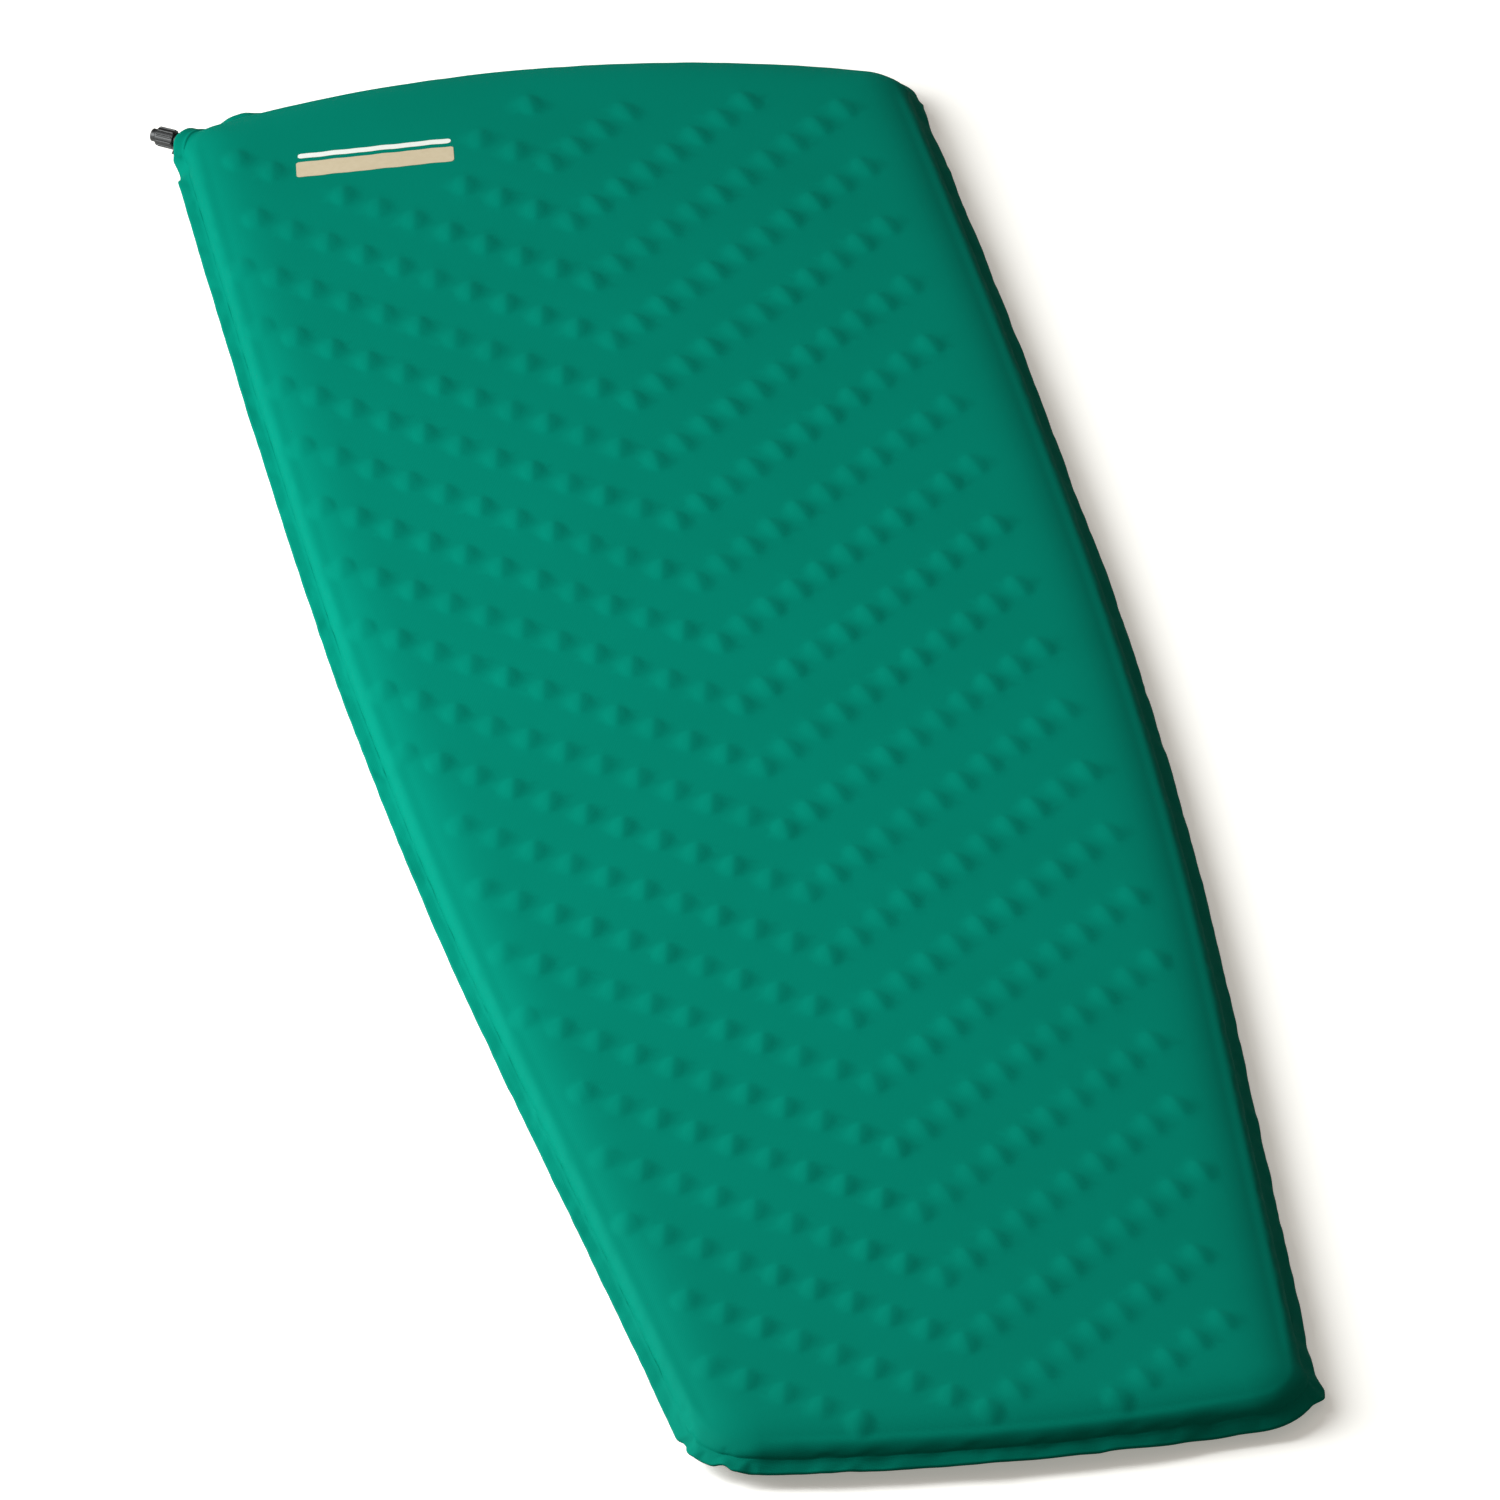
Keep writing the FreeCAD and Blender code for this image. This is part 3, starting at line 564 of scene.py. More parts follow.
def depth_inside(points):
    """How far inside the outline each point lies."""
    depths = []
    for x, y in points:
        if abs(y) > half_length or abs(x) > half_width:
            depths.append(0.0)
            continue
        head = head_centre[1] + math.sqrt(HEAD_RADIUS**2 - x**2)
        foot = foot_centre[1] - math.sqrt(FOOT_RADIUS**2 - x**2)
        room = min(half_width_at(y) - abs(x), head - y, y - foot)
        corner = head_corner if y > 0 else foot_corner
        radius = HEAD_CORNER if y > 0 else FOOT_CORNER
        past = np.array([abs(x), abs(y)]) - np.abs(corner)
        if past.min() > 0:
            room = min(room, radius - float(np.hypot(*past)))
        depths.append(room)
    return np.array(depths)


def slot_frame(points):
    """Each point's distance across and along its nearest possible slot, and that slot's name."""
    column = np.rint((points[:, 0] - VEE_SHIFT) / COLUMN_PITCH)
    across = points[:, 0] - VEE_SHIFT - column * COLUMN_PITCH
    beyond = points[:, 1] - LAST_VEE - np.abs(column) * COLUMN_PITCH
    row = np.rint(beyond / ROW_PITCH)
    return across, beyond - row * ROW_PITCH, column.astype(int), row.astype(int)


def near_slot(points):
    """1 where the nearest slot of the rule was really cut, else 0."""
    columns, rows = slot_frame(points)[2:]
    return np.array([float((c, r) in slots) for c, r in zip(columns.tolist(), rows.tolist())])


def field_points():
    across, along = np.meshgrid(ACROSS_SLOT, ALONG_SLOT)
    nets = []
    for x, y, lean in slots.values():
        turned_x = x + across * math.cos(lean) - along * math.sin(lean)
        turned_y = y + across * math.sin(lean) + along * math.cos(lean)
        nets.append(np.column_stack([turned_x.ravel(), turned_y.ravel()]))
    fill_x = np.arange(-half_width, half_width, FILL_STEP)
    fill_y = np.arange(-half_length, half_length, FILL_STEP)
    fill = np.stack(np.meshgrid(fill_x, fill_y), axis=-1)
    fill[1::2, :, 0] += FILL_STEP / 2
    fill = fill.reshape(-1, 2)
    over, beside, _, _ = slot_frame(fill)
    free = (np.abs(beside) > ALONG_SLOT[-1] + NET_CLEAR) | (near_slot(fill) < 0.5)
    return np.concatenate([*nets, fill[free]])


field = field_points()
depth = depth_inside(field)
field = field[depth > inner_inset + INNER_CLEAR]
field_rise = rise_at(depth[depth > inner_inset + INNER_CLEAR])
print("points of the field:", len(field))


# %% Triangulate the field inside a loop
SIDE_BOW = 0.15


def bowed(points):
    """The plan in millimetres with its straight sides bowed, so no three points are in line."""
    narrow = 1 - SIDE_BOW * (points[:, 1] / half_length) ** 2
    return np.column_stack([points[:, 0] * narrow, points[:, 1]]) / MM


def triangulate(loop, points):
    """Triangles that fill a loop and use the points; the loop's points come first."""
    count = len(loop)
    flat = np.concatenate([loop, points])
    places = [Vector(p) for p in bowed(flat).tolist()]
    ring_edges = [(i, (i + 1) % count) for i in range(count)]
    made = delaunay_2d_cdt(places, ring_edges, [], 2, 1e-7, False)
    outside = {(b, a) for a, b in ring_edges}
    triangles = [tuple(t) for t in made[2] if outside.isdisjoint(zip(t, (*t[1:], t[0])))]
    print("points before and after:", len(flat), len(made[0]), "left out:", len(made[2]) - len(triangles))
    return flat, triangles


field_flat, field_triangles = triangulate(inner_loop, field)
print("field triangles:", len(field_triangles))

# %% [markdown]
# ## Joining the field and the band into one sheet
# The field shares its loop with the band's innermost ring, so the two become one mesh with no
# seam. Each point also stores its place in the flat panel as it was cut. The weave follows that
# place, so it runs over the rounded wall without stretching, as woven cloth does.

# %% Build each half of the casing
band_rings, band_points = upper_band.shape[:2]


def sheet_mesh(name, band, side, up):
    """One half of the casing: the band's grid and the triangulated field."""
    numbers = np.arange(band_rings * band_points).reshape(band_rings, band_points)
    faces = []
    step = np.roll(np.arange(band_points), -1)
    for a, b in zip(numbers[:-1], numbers[1:]):
        quads = np.stack([a, a[step], b[step], b], axis=1)
        faces += [tuple(q) if up else tuple(q[::-1]) for q in quads.tolist()]
    shift = (band_rings - 1) * band_points
    faces += [tuple(i + shift for i in (t if up else t[::-1])) for t in field_triangles]
    extra = field_flat[band_points:]
    middle = np.column_stack([extra, SEAM_HEIGHT + side * field_rise])
    points = np.concatenate([band.reshape(-1, 3), middle])
    made = mesh_object(name, points, faces)
    steps = np.linalg.norm(np.diff(band, axis=0), axis=2)
    reach = np.concatenate([np.cumsum(steps[::-1], axis=0)[::-1], np.zeros((1, band_points))])
    out = np.repeat(outward, 2, axis=0)
    out[1::2] = (outward + np.roll(outward, -1, axis=0)) / 2
    panel = band[-1:, :, :2] + out[None] * reach[..., None]
    panel = np.concatenate([panel.reshape(-1, 2), extra])
    put_numbers(made.data, "panel", "FLOAT_VECTOR", np.pad(panel, ((0, 0), (0, 1))))
    put_numbers(made.data, "slotted", "FLOAT", near_slot(points[:, :2]))
    return made


casing_top = sheet_mesh("casing_top", upper_band, 1, True)
casing_bottom = sheet_mesh("casing_bottom", lower_band, -1, False)
print("points in each half:", len(casing_top.data.vertices))

# %% [markdown]
# ## Coated polyester
# The casing is plain-woven 75-denier polyester with a polyurethane film on its inner face. The
# cloth is matt, deep green with a little blue, and a trifle uneven from dyeing and handling. Its
# threads lie 0.3 mm apart, too fine to show here, so the weave is drawn at 1.1 mm and kept faint.
# A brick or a Voronoi pattern could stand in for it; two crossed waves are closer to threads that
# go over and under, and cost less.

# %% Woven casing material
THREAD_SPACING = 0.0011
THREAD_DEPTH = 0.0003
THREAD_STRENGTH = 0.25
WAVE_NODE_TURN = 20  # radians that a Wave node goes through in one unit at scale 1
DYE_SCALE = 9.0  # patches about 11 cm wide
FUZZ_SCALE = 900.0  # fuzz about 1.1 mm wide
FUZZ_SHARE = 0.35
WEAVE_ROUGHNESS = (0.62, 0.82)
WEAVE_SPECULAR = 0.015

def woven_material(name, hex_colour, hex_shade):
    material = bpy.data.materials.new(name)
    material.use_nodes = True
    tree = material.node_tree
    shader = tree.nodes["Principled BSDF"]
    shader.inputs["Specular IOR Level"].default_value = WEAVE_SPECULAR
    panel = add_node(tree, "ShaderNodeAttribute", attribute_name="panel").outputs["Vector"]
    place = add_node(tree, "ShaderNodeTexCoord").outputs["Object"]
    thread_scale = math.tau / THREAD_SPACING / WAVE_NODE_TURN
    threads = []
    for way in "XY":
        wave_inputs = {"Vector": panel, "Scale": thread_scale, "Distortion": 0.0}
        wave = add_node(tree, "ShaderNodeTexWave", wave_inputs, bands_direction=way)
        threads.append(wave.outputs["Fac"])
    crossed = add_node(tree, "ShaderNodeMath", dict(enumerate(threads)), operation="MULTIPLY")
    dye_inputs = {"Vector": place, "Scale": DYE_SCALE, "Detail": 3.0}
    dye = add_node(tree, "ShaderNodeTexNoise", dye_inputs)
    fuzz_inputs = {"Vector": panel, "Scale": FUZZ_SCALE, "Detail": 2.0}
    fuzz = add_node(tree, "ShaderNodeTexNoise", fuzz_inputs)
    both = add_node(
        tree,
        "ShaderNodeMath",
        {0: dye.outputs["Fac"], 1: fuzz.outputs["Fac"], 2: FUZZ_SHARE},
        operation="MULTIPLY_ADD",
    )
    share = add_node(
        tree,
        "ShaderNodeMapRange",
        {"Value": both.outputs[0], "From Min": 0.1, "From Max": 0.75},
    )
    colour = add_node(
        tree,
        "ShaderNodeMix",
        {
            "Factor": share.outputs["Result"],
            "A": linear(hex_shade),
            "B": linear(hex_colour),
        },
        data_type="RGBA",
    )
    smoothest, roughest = WEAVE_ROUGHNESS
    rough = add_node(
        tree,
        "ShaderNodeMapRange",
        {"Value": fuzz.outputs["Fac"], "To Min": smoothest, "To Max": roughest},
    )
    bump = add_node(
        tree,
        "ShaderNodeBump",
        {"Height": crossed.outputs[0], "Strength": THREAD_STRENGTH, "Distance": THREAD_DEPTH},
    )
    tree.links.new(colour.outputs["Result"], shader.inputs["Base Color"])
    tree.links.new(rough.outputs["Result"], shader.inputs["Roughness"])
    tree.links.new(bump.outputs["Normal"], shader.inputs["Normal"])
    return material


TOP_GREEN = "#007360"
TOP_SHADE = "#006B57"
BASE_GREEN = "#00634C"
BASE_SHADE = "#005A45"
casing_material = woven_material("Polyester_plain_weave_PU_coated_green", TOP_GREEN, TOP_SHADE)
base_material = woven_material("Polyester_plain_weave_PU_coated_base", BASE_GREEN, BASE_SHADE)
print("casing materials:", casing_material.name, base_material.name)

# %% [markdown]
# ## Tents over the slots
# Every tent has the same shape: a crest along its slot and a slope to each side. That is a rule,
# so a Geometry Nodes tree makes it: from a point's place it works out the nearest slot, measures
# how far the point lies across and along it, and lifts the point by the tent's height there.
# Modelling one tent and copying it would leave hundreds of seams in the sheet.


# %% Geometry Nodes tree for the tents
TENT_SOFTNESS = 0.012
WINDOW_STARTS = 0.36  # share of the column pitch where a tent starts to fade out
NUMBERS_PER_COLUMN = 97.0


def tent_tree(name):
    tree = bpy.data.node_groups.new(name, "GeometryNodeTree")
    tree.interface.new_socket("Geometry", in_out="INPUT", socket_type="NodeSocketGeometry")
    tree.interface.new_socket("Geometry", in_out="OUTPUT", socket_type="NodeSocketGeometry")
    names = (
        "Column pitch",
        "Row pitch",
        "Vee shift",
        "Last vee",
        "Lean",
        "Half width",
        "Half length",
        "Crest width",
        "Height",
        "Flat top",
        "Least share",
    )
    for label in names:
        tree.interface.new_socket(label, in_out="INPUT", socket_type="NodeSocketFloat")
    tree.interface.new_socket("Seed", in_out="INPUT", socket_type="NodeSocketInt")
    tree.interface.new_socket("Material", in_out="INPUT", socket_type="NodeSocketMaterial")
    given = add_node(tree, "NodeGroupInput").outputs

    def maths(operation, *values):
        return add_node(tree, "ShaderNodeMath", dict(enumerate(values)), operation=operation).outputs[0]

    position = add_node(tree, "GeometryNodeInputPosition").outputs[0]
    parts = add_node(tree, "ShaderNodeSeparateXYZ", {0: position}).outputs
    from_middle = maths("SUBTRACT", parts["X"], given["Vee shift"])
    column = maths("ROUND", maths("DIVIDE", from_middle, given["Column pitch"]))
    across = maths("SUBTRACT", from_middle, maths("MULTIPLY", column, given["Column pitch"]))
    arm = maths("MULTIPLY", maths("ABSOLUTE", column), given["Column pitch"])
    beyond = maths("SUBTRACT", maths("SUBTRACT", parts["Y"], given["Last vee"]), arm)
    row = maths("ROUND", maths("DIVIDE", beyond, given["Row pitch"]))
    along = maths("SUBTRACT", beyond, maths("MULTIPLY", row, given["Row pitch"]))
    turn = maths("MULTIPLY", maths("SIGN", column), given["Lean"])
    cosine = maths("COSINE", turn)
    sine = maths("SINE", turn)
    over = maths("ADD", maths("MULTIPLY", across, cosine), maths("MULTIPLY", along, sine))
    beside = maths("SUBTRACT", maths("MULTIPLY", along, cosine), maths("MULTIPLY", across, sine))
    crest = given["Crest width"]
    rounded = maths("SQRT", maths("ADD", maths("MULTIPLY", over, over), maths("MULTIPLY", crest, crest)))
    slope = maths("DIVIDE", maths("SUBTRACT", rounded, crest), given["Half width"])
    reach = maths("DIVIDE", beside, given["Half length"])
    tent = maths("SUBTRACT", maths("SUBTRACT", 1.0, slope), maths("MULTIPLY", reach, reach))
    softened = maths("SQRT", maths("ADD", maths("MULTIPLY", tent, tent), TENT_SOFTNESS))
    raised = maths("MULTIPLY", maths("ADD", tent, softened), 0.5)
    edge_share = maths("DIVIDE", maths("ABSOLUTE", across), given["Column pitch"])
    window = add_node(
        tree,
        "ShaderNodeMapRange",
        {"Value": edge_share, "From Min": WINDOW_STARTS, "From Max": 0.5, "To Min": 1.0, "To Max": 0.0},
        interpolation_type="SMOOTHSTEP",
    ).outputs["Result"]
    slotted = add_node(
        tree, "GeometryNodeInputNamedAttribute", {"Name": "slotted"}, data_type="FLOAT"
    ).outputs["Attribute"]
    number = maths("ADD", maths("MULTIPLY", column, NUMBERS_PER_COLUMN), row)
    uneven = add_node(
        tree,
        "FunctionNodeRandomValue",
        {"Min": given["Least share"], "Max": 1.0, "ID": number, "Seed": given["Seed"]},
        data_type="FLOAT",
    ).outputs["Value"]
    shape = maths("MULTIPLY", maths("MULTIPLY", raised, given["Height"]), uneven)
    height = maths("MULTIPLY", shape, maths("MULTIPLY", window, slotted))
    pressed = maths("MINIMUM", height, given["Flat top"])
    normal = add_node(tree, "GeometryNodeInputNormal").outputs[0]
    lift = add_node(tree, "ShaderNodeVectorMath", {0: normal, "Scale": pressed}, operation="SCALE")
    lifted = add_node(
        tree,
        "GeometryNodeSetPosition",
        {"Geometry": given["Geometry"], "Offset": lift.outputs[0]},
    )
    real = add_node(tree, "GeometryNodeRealizeInstances", {"Geometry": lifted.outputs[0]})
    finish = add_node(
        tree,
        "GeometryNodeSetMaterial",
        {"Geometry": real.outputs[0], "Material": given["Material"]},
    )
    add_node(tree, "NodeGroupOutput", {"Geometry": finish.outputs[0]})
    return tree


tents = tent_tree("Tents over the slots")
print("tent tree nodes:", len(tents.nodes))


# %% Raise the tents on both halves
def set_inputs(modifier, tree, values):
    for item in tree.interface.items_tree:
        if item.item_type == "SOCKET" and item.in_out == "INPUT" and item.name in values:
            modifier[item.identifier] = values[item.name]


TENT_HEIGHT = 0.00172
BASE_TENT_HEIGHT = 0.0012
BASE_FLAT_TOP = 0.0005
tent_sizes = {
    "Column pitch": COLUMN_PITCH,
    "Row pitch": ROW_PITCH,
    "Vee shift": VEE_SHIFT,
    "Last vee": LAST_VEE,
    "Lean": SLOT_LEAN,
    "Half width": 0.0100,
    "Half length": 0.0150,
    "Crest width": 0.0017,
    "Least share": 0.72,
    "Seed": 7,
}
for sheet, height, flat_top, material in (
    (casing_top, TENT_HEIGHT, 1.0, casing_material),
    (casing_bottom, BASE_TENT_HEIGHT, BASE_FLAT_TOP, base_material),
):
    modifier = sheet.modifiers.new("tents", "NODES")
    modifier.node_group = tents
    set_inputs(
        modifier, tents, {**tent_sizes, "Height": height, "Flat top": flat_top, "Material": material}
    )
    apply_modifiers(sheet)
    shell = sheet.modifiers.new("fabric thickness", "SOLIDIFY")
    shell.thickness = FABRIC
    shell.offset = 1.0
    apply_modifiers(sheet)
    print(sheet.name, "faces:", len(sheet.data.polygons))

for sheet, node, material_slot in (
    (casing_top, "top_fabric", "casing_fabric"),
    (casing_bottom, "bottom_fabric", "base_fabric"),
):
    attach(sheet, "pad")
    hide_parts(node)

# %% [markdown]
# ## A surface with grain
# Film, plastic, rubber and foam differ in colour and gloss, but each has a fine grain that changes
# its colour, roughness and height a little. An image of each could be used; one noise of the
# grain's real size needs none and works at any distance. One function makes all four.


# %% Grained material
def grained_material(name, hex_colour, hex_shade, grain, roughness, depth, specular):
    """A surface with grain; grain is its size in metres, and depth its height and strength."""
    material = bpy.data.materials.new(name)
    material.use_nodes = True
    tree = material.node_tree
    shader = tree.nodes["Principled BSDF"]
    shader.inputs["Specular IOR Level"].default_value = specular
    place = add_node(tree, "ShaderNodeTexCoord").outputs["Object"]
    grain_inputs = {"Vector": place, "Scale": 1 / grain, "Detail": 3.0}
    fleck = add_node(tree, "ShaderNodeTexNoise", grain_inputs)
    colour = add_node(
        tree,
        "ShaderNodeMix",
        {"Factor": fleck.outputs["Fac"], "A": linear(hex_shade), "B": linear(hex_colour)},
        data_type="RGBA",
    )
    rough = add_node(
        tree,
        "ShaderNodeMapRange",
        {"Value": fleck.outputs["Fac"], "To Min": roughness[0], "To Max": roughness[1]},
    )
    bump = add_node(
        tree,
        "ShaderNodeBump",
        {"Height": fleck.outputs["Fac"], "Strength": depth[1], "Distance": depth[0]},
    )
    tree.links.new(colour.outputs["Result"], shader.inputs["Base Color"])
    tree.links.new(rough.outputs["Result"], shader.inputs["Roughness"])
    tree.links.new(bump.outputs["Normal"], shader.inputs["Normal"])
    return material


# %% [markdown]
# ## The printed label
# A band of tan film and a thin white line are heat-transferred on the cloth near the corner.
# They are thin plates laid on the surface, a tenth of a millimetre thick.

# %% Label material
FILM_FINISH = (1 / 260, (0.42, 0.6), (0.0002, 0.2), 0.3)
tan_film = grained_material("Heat_transfer_film_tan", "#C6B89C", "#BCAC8E", *FILM_FINISH)
white_film = grained_material("Heat_transfer_film_white", "#E6E8E2", "#D6DAD2", *FILM_FINISH)
print("film materials:", tan_film.name, white_film.name)

# %% Label plates
LABEL_TURN = math.radians(2.5)
LABEL_SLANT = 0.18
FILM = 0.0001
FILM_CORNER = 0.0025
FILM_WAVE = 0.00035
FILM_WAVE_TURNS = (290, 83)  # radians for each metre along the edge
LABEL_LIFT = 0.00005


def film_plate(name, size, above, material):
    """A thin plate with rounded corners and slightly wavy long edges, laid on the surface."""
    columns, rows = 108, 8
    turns = np.linspace(0, 1, columns)
    across = -size[0] / 2 * np.cos(turns * math.pi)
    corner = min(FILM_CORNER, size[1] / 2)
    past = np.clip(np.abs(across) - size[0] / 2 + corner, 0, corner)
    reach = size[1] / 2 - corner + np.sqrt(corner**2 - past**2 + 1e-9)
    fast, slow = FILM_WAVE_TURNS
    wave = FILM_WAVE * np.sin(across * fast) * np.sin(across * slow + 1)
    grid_y = np.linspace(-1, 1, rows)[:, None] * reach + wave + above
    grid_x = across + grid_y * LABEL_SLANT
    cosine, sine = math.cos(LABEL_TURN), math.sin(LABEL_TURN)
    x = LABEL_CENTRE[0] + grid_x * cosine - grid_y * sine
    y = LABEL_CENTRE[1] + grid_x * sine + grid_y * cosine
    z = np.full_like(x, PAD_THICKNESS + LABEL_LIFT)
    points = np.stack([x, y, z], axis=-1).reshape(-1, 3)
    numbers = np.arange(columns * rows).reshape(rows, columns)
    corners = [numbers[:-1, :-1], numbers[:-1, 1:], numbers[1:, 1:], numbers[1:, :-1]]
    faces = [tuple(q) for q in np.stack(corners, axis=-1).reshape(-1, 4).tolist()]
    plate = mesh_object(name, points, faces, smooth=False)
    plate.data.materials.append(material)
    shell = plate.modifiers.new("film", "SOLIDIFY")
    shell.thickness = FILM
    shell.offset = 1.0
    return apply_modifiers(plate)


label_band = film_plate("label_band_print", LABEL_SIZE, 0.0, tan_film)
above_band = LABEL_SIZE[1] / 2 + STRIPE_GAP + STRIPE_SIZE[1] / 2
label_stripe = film_plate("label_stripe_print", STRIPE_SIZE, above_band, white_film)
for plate, node, material_slot in (
    (label_band, "label_band", "band_print"),
    (label_stripe, "label_stripe", "stripe_print"),
):
    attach(plate, "pad")
    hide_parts(node)

# %% [markdown]
# ## Plastic, rubber and foam
# The valve is injection-moulded black plastic, its rings are rubber, and the core is open-cell
# foam. The valve's and the rings' shapes come right from the engineering model, so only their finish is
# made here.

# %% Moulded materials
valve_plastic = grained_material(
    "Nylon_injection_moulded_black", "#0F1011", "#0A0A0B", 0.0004, (0.4, 0.55), (0.0001, 0.4), 0.5
)
cap_plastic = grained_material(
    "Acetal_injection_moulded_black", "#111213", "#0B0C0C", 0.0004, (0.32, 0.48), (0.0001, 0.4), 0.5
)
ring_rubber = grained_material(
    "Nitrile_rubber_moulded", "#1A1A1A", "#101010", 0.0006, (0.6, 0.75), (0.0001, 0.4), 0.4
)
core_foam = grained_material(
    "Polyurethane_foam_open_cell_die_cut", "#D9CFA8", "#B9AD84", 0.0012, (0.85, 1.0), (0.0006, 0.4), 0.2
)
for node, material in (
    ("valve_body", valve_plastic),
    ("valve_cap", cap_plastic),
    ("stem_oring", ring_rubber),
    ("plug_oring", ring_rubber),
    ("cap_seal", ring_rubber),
):
    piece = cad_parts[node]
    for index in range(len(piece.material_slots)):
        piece.material_slots[index].material = material
    print(node, "slots", len(piece.material_slots))

# %% [markdown]
# ## The foam core
# The core is a slab of open-cell polyurethane foam, die-cut with the slots so that it packs small
# and weighs less. Its rim is pressed down between the sheets, so it follows their dome from
# inside. A Boolean cut with hundreds of knives would be slow and leave long thin faces. One
# constrained triangulation with the slots as holes gives the slab's face at once; the lower face
# is its mirror, and walls join the two along every loop.

# %% Foam slab with its slots
CORE_INSET = 0.017
CORE_GAP = 0.0003
SLOT_LENGTH = 0.020
SLOT_WIDTH = 0.005
CORE_RINGS = (0.021, 0.026, 0.032, 0.039)
CORE_FILL = 0.020
SLOT_SPACE = (0.006, 0.011)
FACE_CLEAR = 0.0001
RING_CLEAR = 0.001


def slot_loop(x, y, lean):
    """The slot's outline, twelve points clockwise, as a hole is wound."""
    turns = np.concatenate([np.linspace(0, math.pi, 6), np.linspace(math.pi, math.tau, 6)])
    shift = np.repeat([1.0, -1.0], 6) * (SLOT_LENGTH - SLOT_WIDTH) / 2
    across = SLOT_WIDTH / 2 * np.cos(turns)
    along = SLOT_WIDTH / 2 * np.sin(turns) + shift
    turned_x = x + across * math.cos(lean) - along * math.sin(lean)
    turned_y = y + across * math.sin(lean) + along * math.cos(lean)
    return np.column_stack([turned_x, turned_y])[::-1]


def foam_slab(name):
    rim = (edge - outward * CORE_INSET)[::2]
    loops = [rim] + [slot_loop(*place) for place in slots.values()]
    starts = np.cumsum([0] + [len(loop) for loop in loops])
    rings = [(edge - outward * inset)[::4] for inset in CORE_RINGS]
    grid_x = np.arange(-half_width, half_width, CORE_FILL)
    grid_y = np.arange(-half_length, half_length, CORE_FILL)
    loose = np.concatenate([*rings, np.stack(np.meshgrid(grid_x, grid_y), axis=-1).reshape(-1, 2)])
    over, beside, _, _ = slot_frame(loose)
    near = (np.abs(over) < SLOT_SPACE[0]) & (np.abs(beside) < SLOT_SPACE[1])
    near = near & (near_slot(loose) > 0.5)
    loose = loose[~near & (depth_inside(loose) > CORE_RINGS[0] - RING_CLEAR)]
    flat = np.concatenate([*loops, loose])
    edges = []
    for first, loop in zip(starts, loops):
        count = len(loop)
        edges += [(int(first) + i, int(first) + (i + 1) % count) for i in range(count)]
    made = delaunay_2d_cdt([Vector(p) for p in (flat / MM).tolist()], edges, [], 2, 1e-7, False)
    face = np.array([tuple(p) for p in made[0]]) * MM
    half = np.minimum(rise_at(depth_inside(face)) - CORE_GAP, SEAM_HEIGHT - FABRIC - FACE_CLEAR)
    count = len(face)
    print("slab face points", count, "of", len(flat))
    top = np.column_stack([face, SEAM_HEIGHT + half])
    base = np.column_stack([face, SEAM_HEIGHT - half])
    faces = [tuple(t) for t in made[2]]
    sides = {(a, b) for t in faces for a, b in zip(t, t[1:] + t[:1])}
    border = sorted((a, b) for a, b in sides if (b, a) not in sides)
    walls = [(b, a, a + count, b + count) for a, b in border]
    under = [tuple(i + count for i in t[::-1]) for t in faces]
    slab = mesh_object(name, np.concatenate([top, base]), faces + under + walls, smooth=False)
    slab.data.materials.append(core_foam)
    return slab


core_slab = foam_slab("core_foam_slab")
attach(core_slab, "pad")
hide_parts("foam_core")
print("foam faces:", len(core_slab.data.polygons))

# %% [markdown]
# ## Floor, light and camera
# The pad lies on a plain pale floor. One broad soft light stands low on its left, so the left
# wall and the left slope of every tent are bright and the right ones fall into shade. A second
# lamp stands nearer in the same direction, so the light fades a little to the right. A low even
# sky fills the shadows. The camera is far away with a very long lens, which keeps the long sides
# almost parallel.

# %% Floor
FLOOR_DROP = 0.0006
FLOOR_REACH = 30.0
FLOOR_GLOW = 0.33
floor = mesh_object(
    "floor",
    [
        (-FLOOR_REACH, -FLOOR_REACH, -FLOOR_DROP),
        (FLOOR_REACH, -FLOOR_REACH, -FLOOR_DROP),
        (FLOOR_REACH, FLOOR_REACH, -FLOOR_DROP),
        (-FLOOR_REACH, FLOOR_REACH, -FLOOR_DROP),
    ],
    [(0, 1, 2, 3)],
)
paper = bpy.data.materials.new("Matt_paper_sweep_white")
paper.use_nodes = True
paper.node_tree.nodes["Principled BSDF"].inputs["Base Color"].default_value = linear("#F4F3F0")
paper.node_tree.nodes["Principled BSDF"].inputs["Roughness"].default_value = 1.0
paper.node_tree.nodes["Principled BSDF"].inputs["Specular IOR Level"].default_value = 0.0
paper.node_tree.nodes["Principled BSDF"].inputs["Emission Color"].default_value = linear("#FFF8F0")
paper.node_tree.nodes["Principled BSDF"].inputs["Emission Strength"].default_value = FLOOR_GLOW
floor.visible_diffuse = False
floor.data.materials.append(paper)

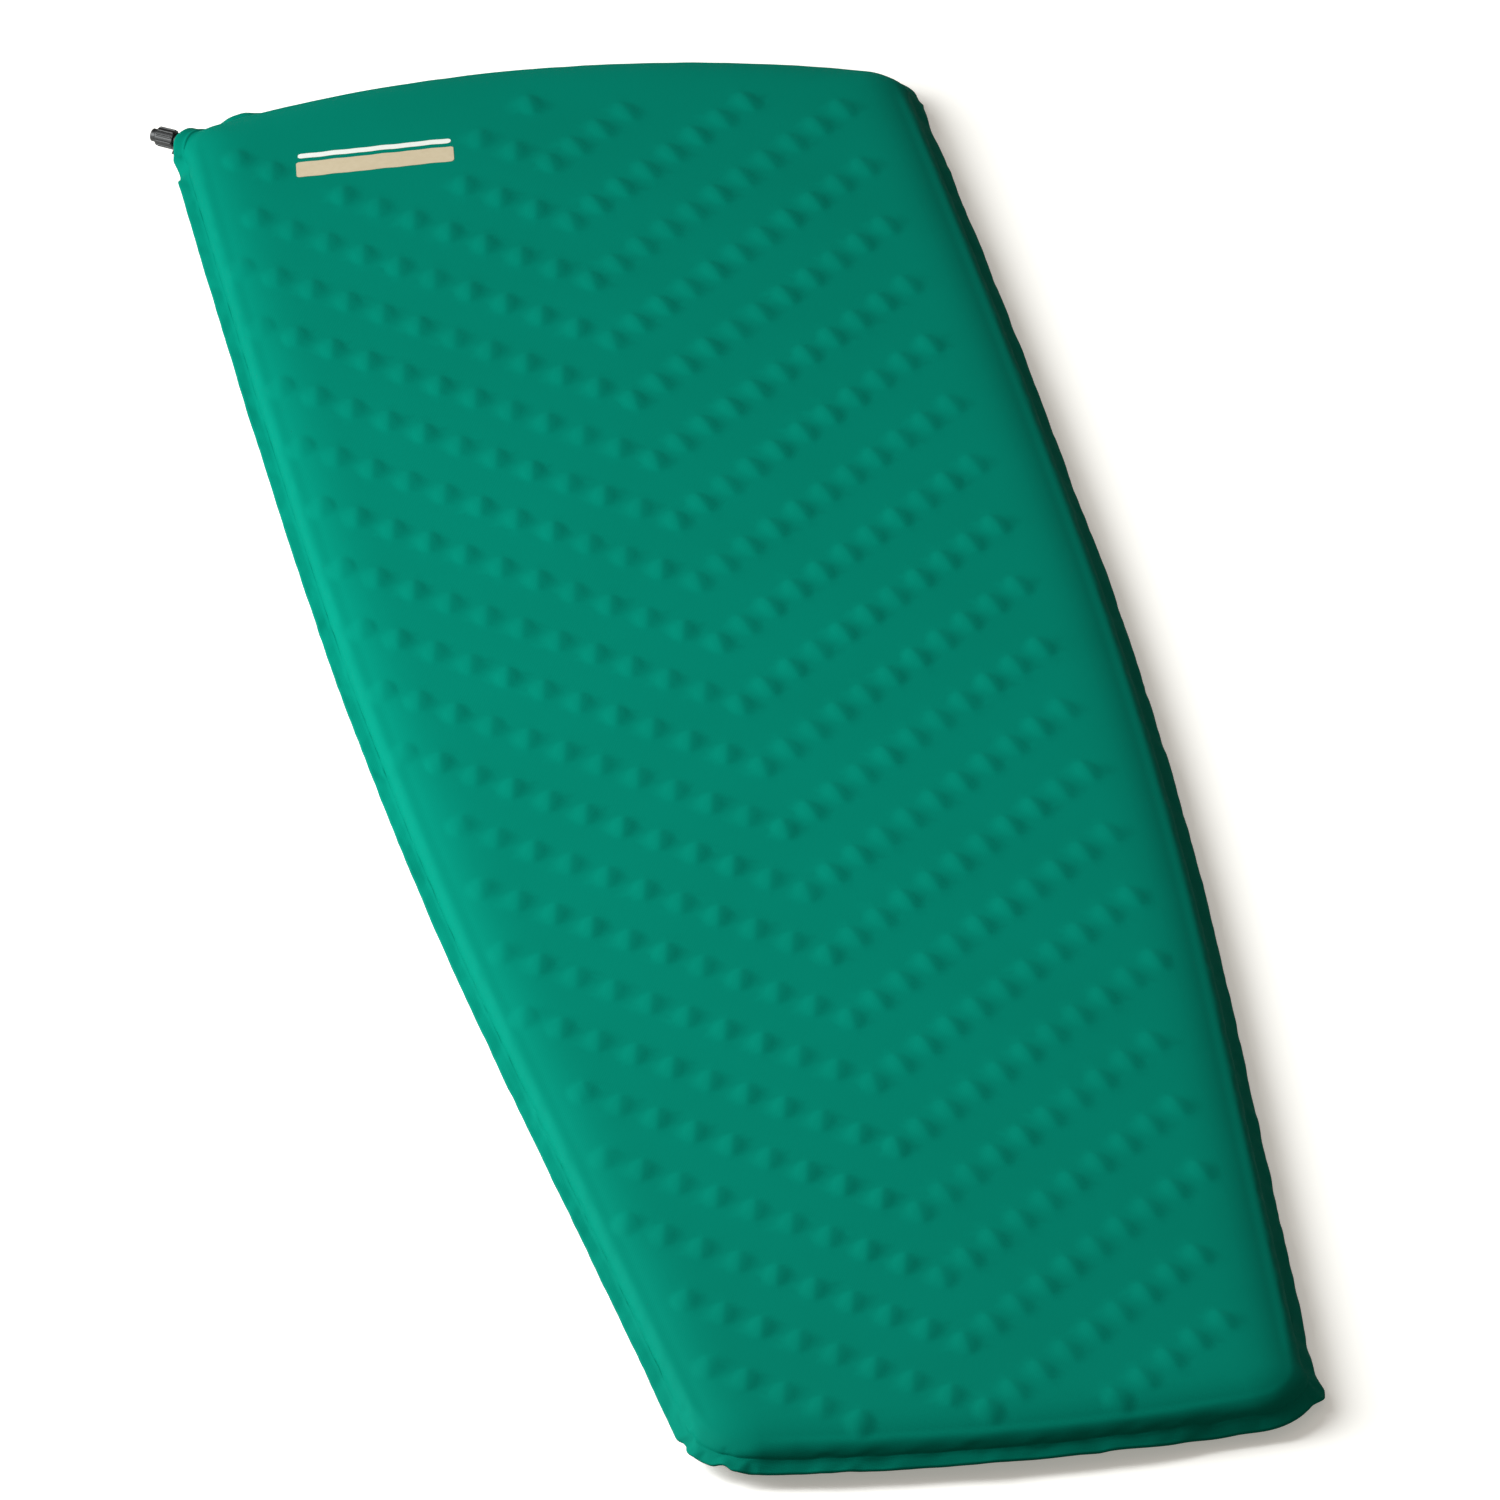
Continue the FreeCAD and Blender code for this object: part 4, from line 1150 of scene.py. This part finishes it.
# %% Light
SUN_HEIGHT = math.radians(30)
SUN_BEARING = math.radians(155)
SUN_SOFTNESS = math.radians(46)
SUN_POWER = 2.25
SKY_POWER = 0.2
LAMP_POWER = 290.0
LAMP_RADIUS = 0.8
LAMP_PLACE = Vector((-1.75, 0.03, 1.02))
sun_data = bpy.data.lights.new("broad_soft_light", "SUN")
sun_data.energy = SUN_POWER
sun_data.angle = SUN_SOFTNESS
sun_data.color = (0.96, 0.99, 1.0)
sun = bpy.data.objects.new("broad_soft_light", sun_data)
bpy.context.collection.objects.link(sun)
towards = Vector((*(direction(SUN_BEARING) * math.cos(SUN_HEIGHT)), math.sin(SUN_HEIGHT)))
sun.rotation_mode = "QUATERNION"
sun.rotation_quaternion = towards.to_track_quat("Z", "Y")
lamp_data = bpy.data.lights.new("near_soft_light", "POINT")
lamp_data.shadow_soft_size = LAMP_RADIUS
lamp_data.energy = LAMP_POWER
lamp_data.color = (0.96, 0.99, 1.0)
lamp = bpy.data.objects.new("near_soft_light", lamp_data)
bpy.context.collection.objects.link(lamp)
lamp.location = LAMP_PLACE
world = bpy.data.worlds.new("even_sky")
world.use_nodes = True
world.node_tree.nodes["Background"].inputs["Color"].default_value = (1.0, 0.97, 0.88, 1.0)
world.node_tree.nodes["Background"].inputs["Strength"].default_value = SKY_POWER
bpy.context.scene.world = world
bpy.context.scene.view_settings.view_transform = "Standard"
print("light from", towards)

# %% Camera
LENS = 844.56
SENSOR = 36.0
ELEVATION = math.radians(29.785)
BEARING = math.radians(-9.899)
DISTANCE = 22.71
AIM = Vector((-0.0047, -0.060, 0.0286))
AIM_RIGHT = 0.01425
AIM_DOWN = 0.01026
back = Vector(
    (
        math.sin(BEARING) * math.cos(ELEVATION),
        -math.cos(BEARING) * math.cos(ELEVATION),
        math.sin(ELEVATION),
    )
)
right = Vector((math.cos(BEARING), math.sin(BEARING), 0.0))
up = back.cross(right)
frame_width = DISTANCE * SENSOR / LENS
camera_data = bpy.data.cameras.new("camera")
camera_data.lens = LENS
camera_data.sensor_width = SENSOR
camera_data.clip_start = 1.0
camera_data.clip_end = 200.0
camera = bpy.data.objects.new("camera", camera_data)
bpy.context.collection.objects.link(camera)
camera.location = AIM - right * AIM_RIGHT * frame_width + up * AIM_DOWN * frame_width + back * DISTANCE
camera.rotation_mode = "QUATERNION"
camera.rotation_quaternion = back.to_track_quat("Z", "Y")
bpy.context.scene.camera = camera
print("camera at", camera.location)
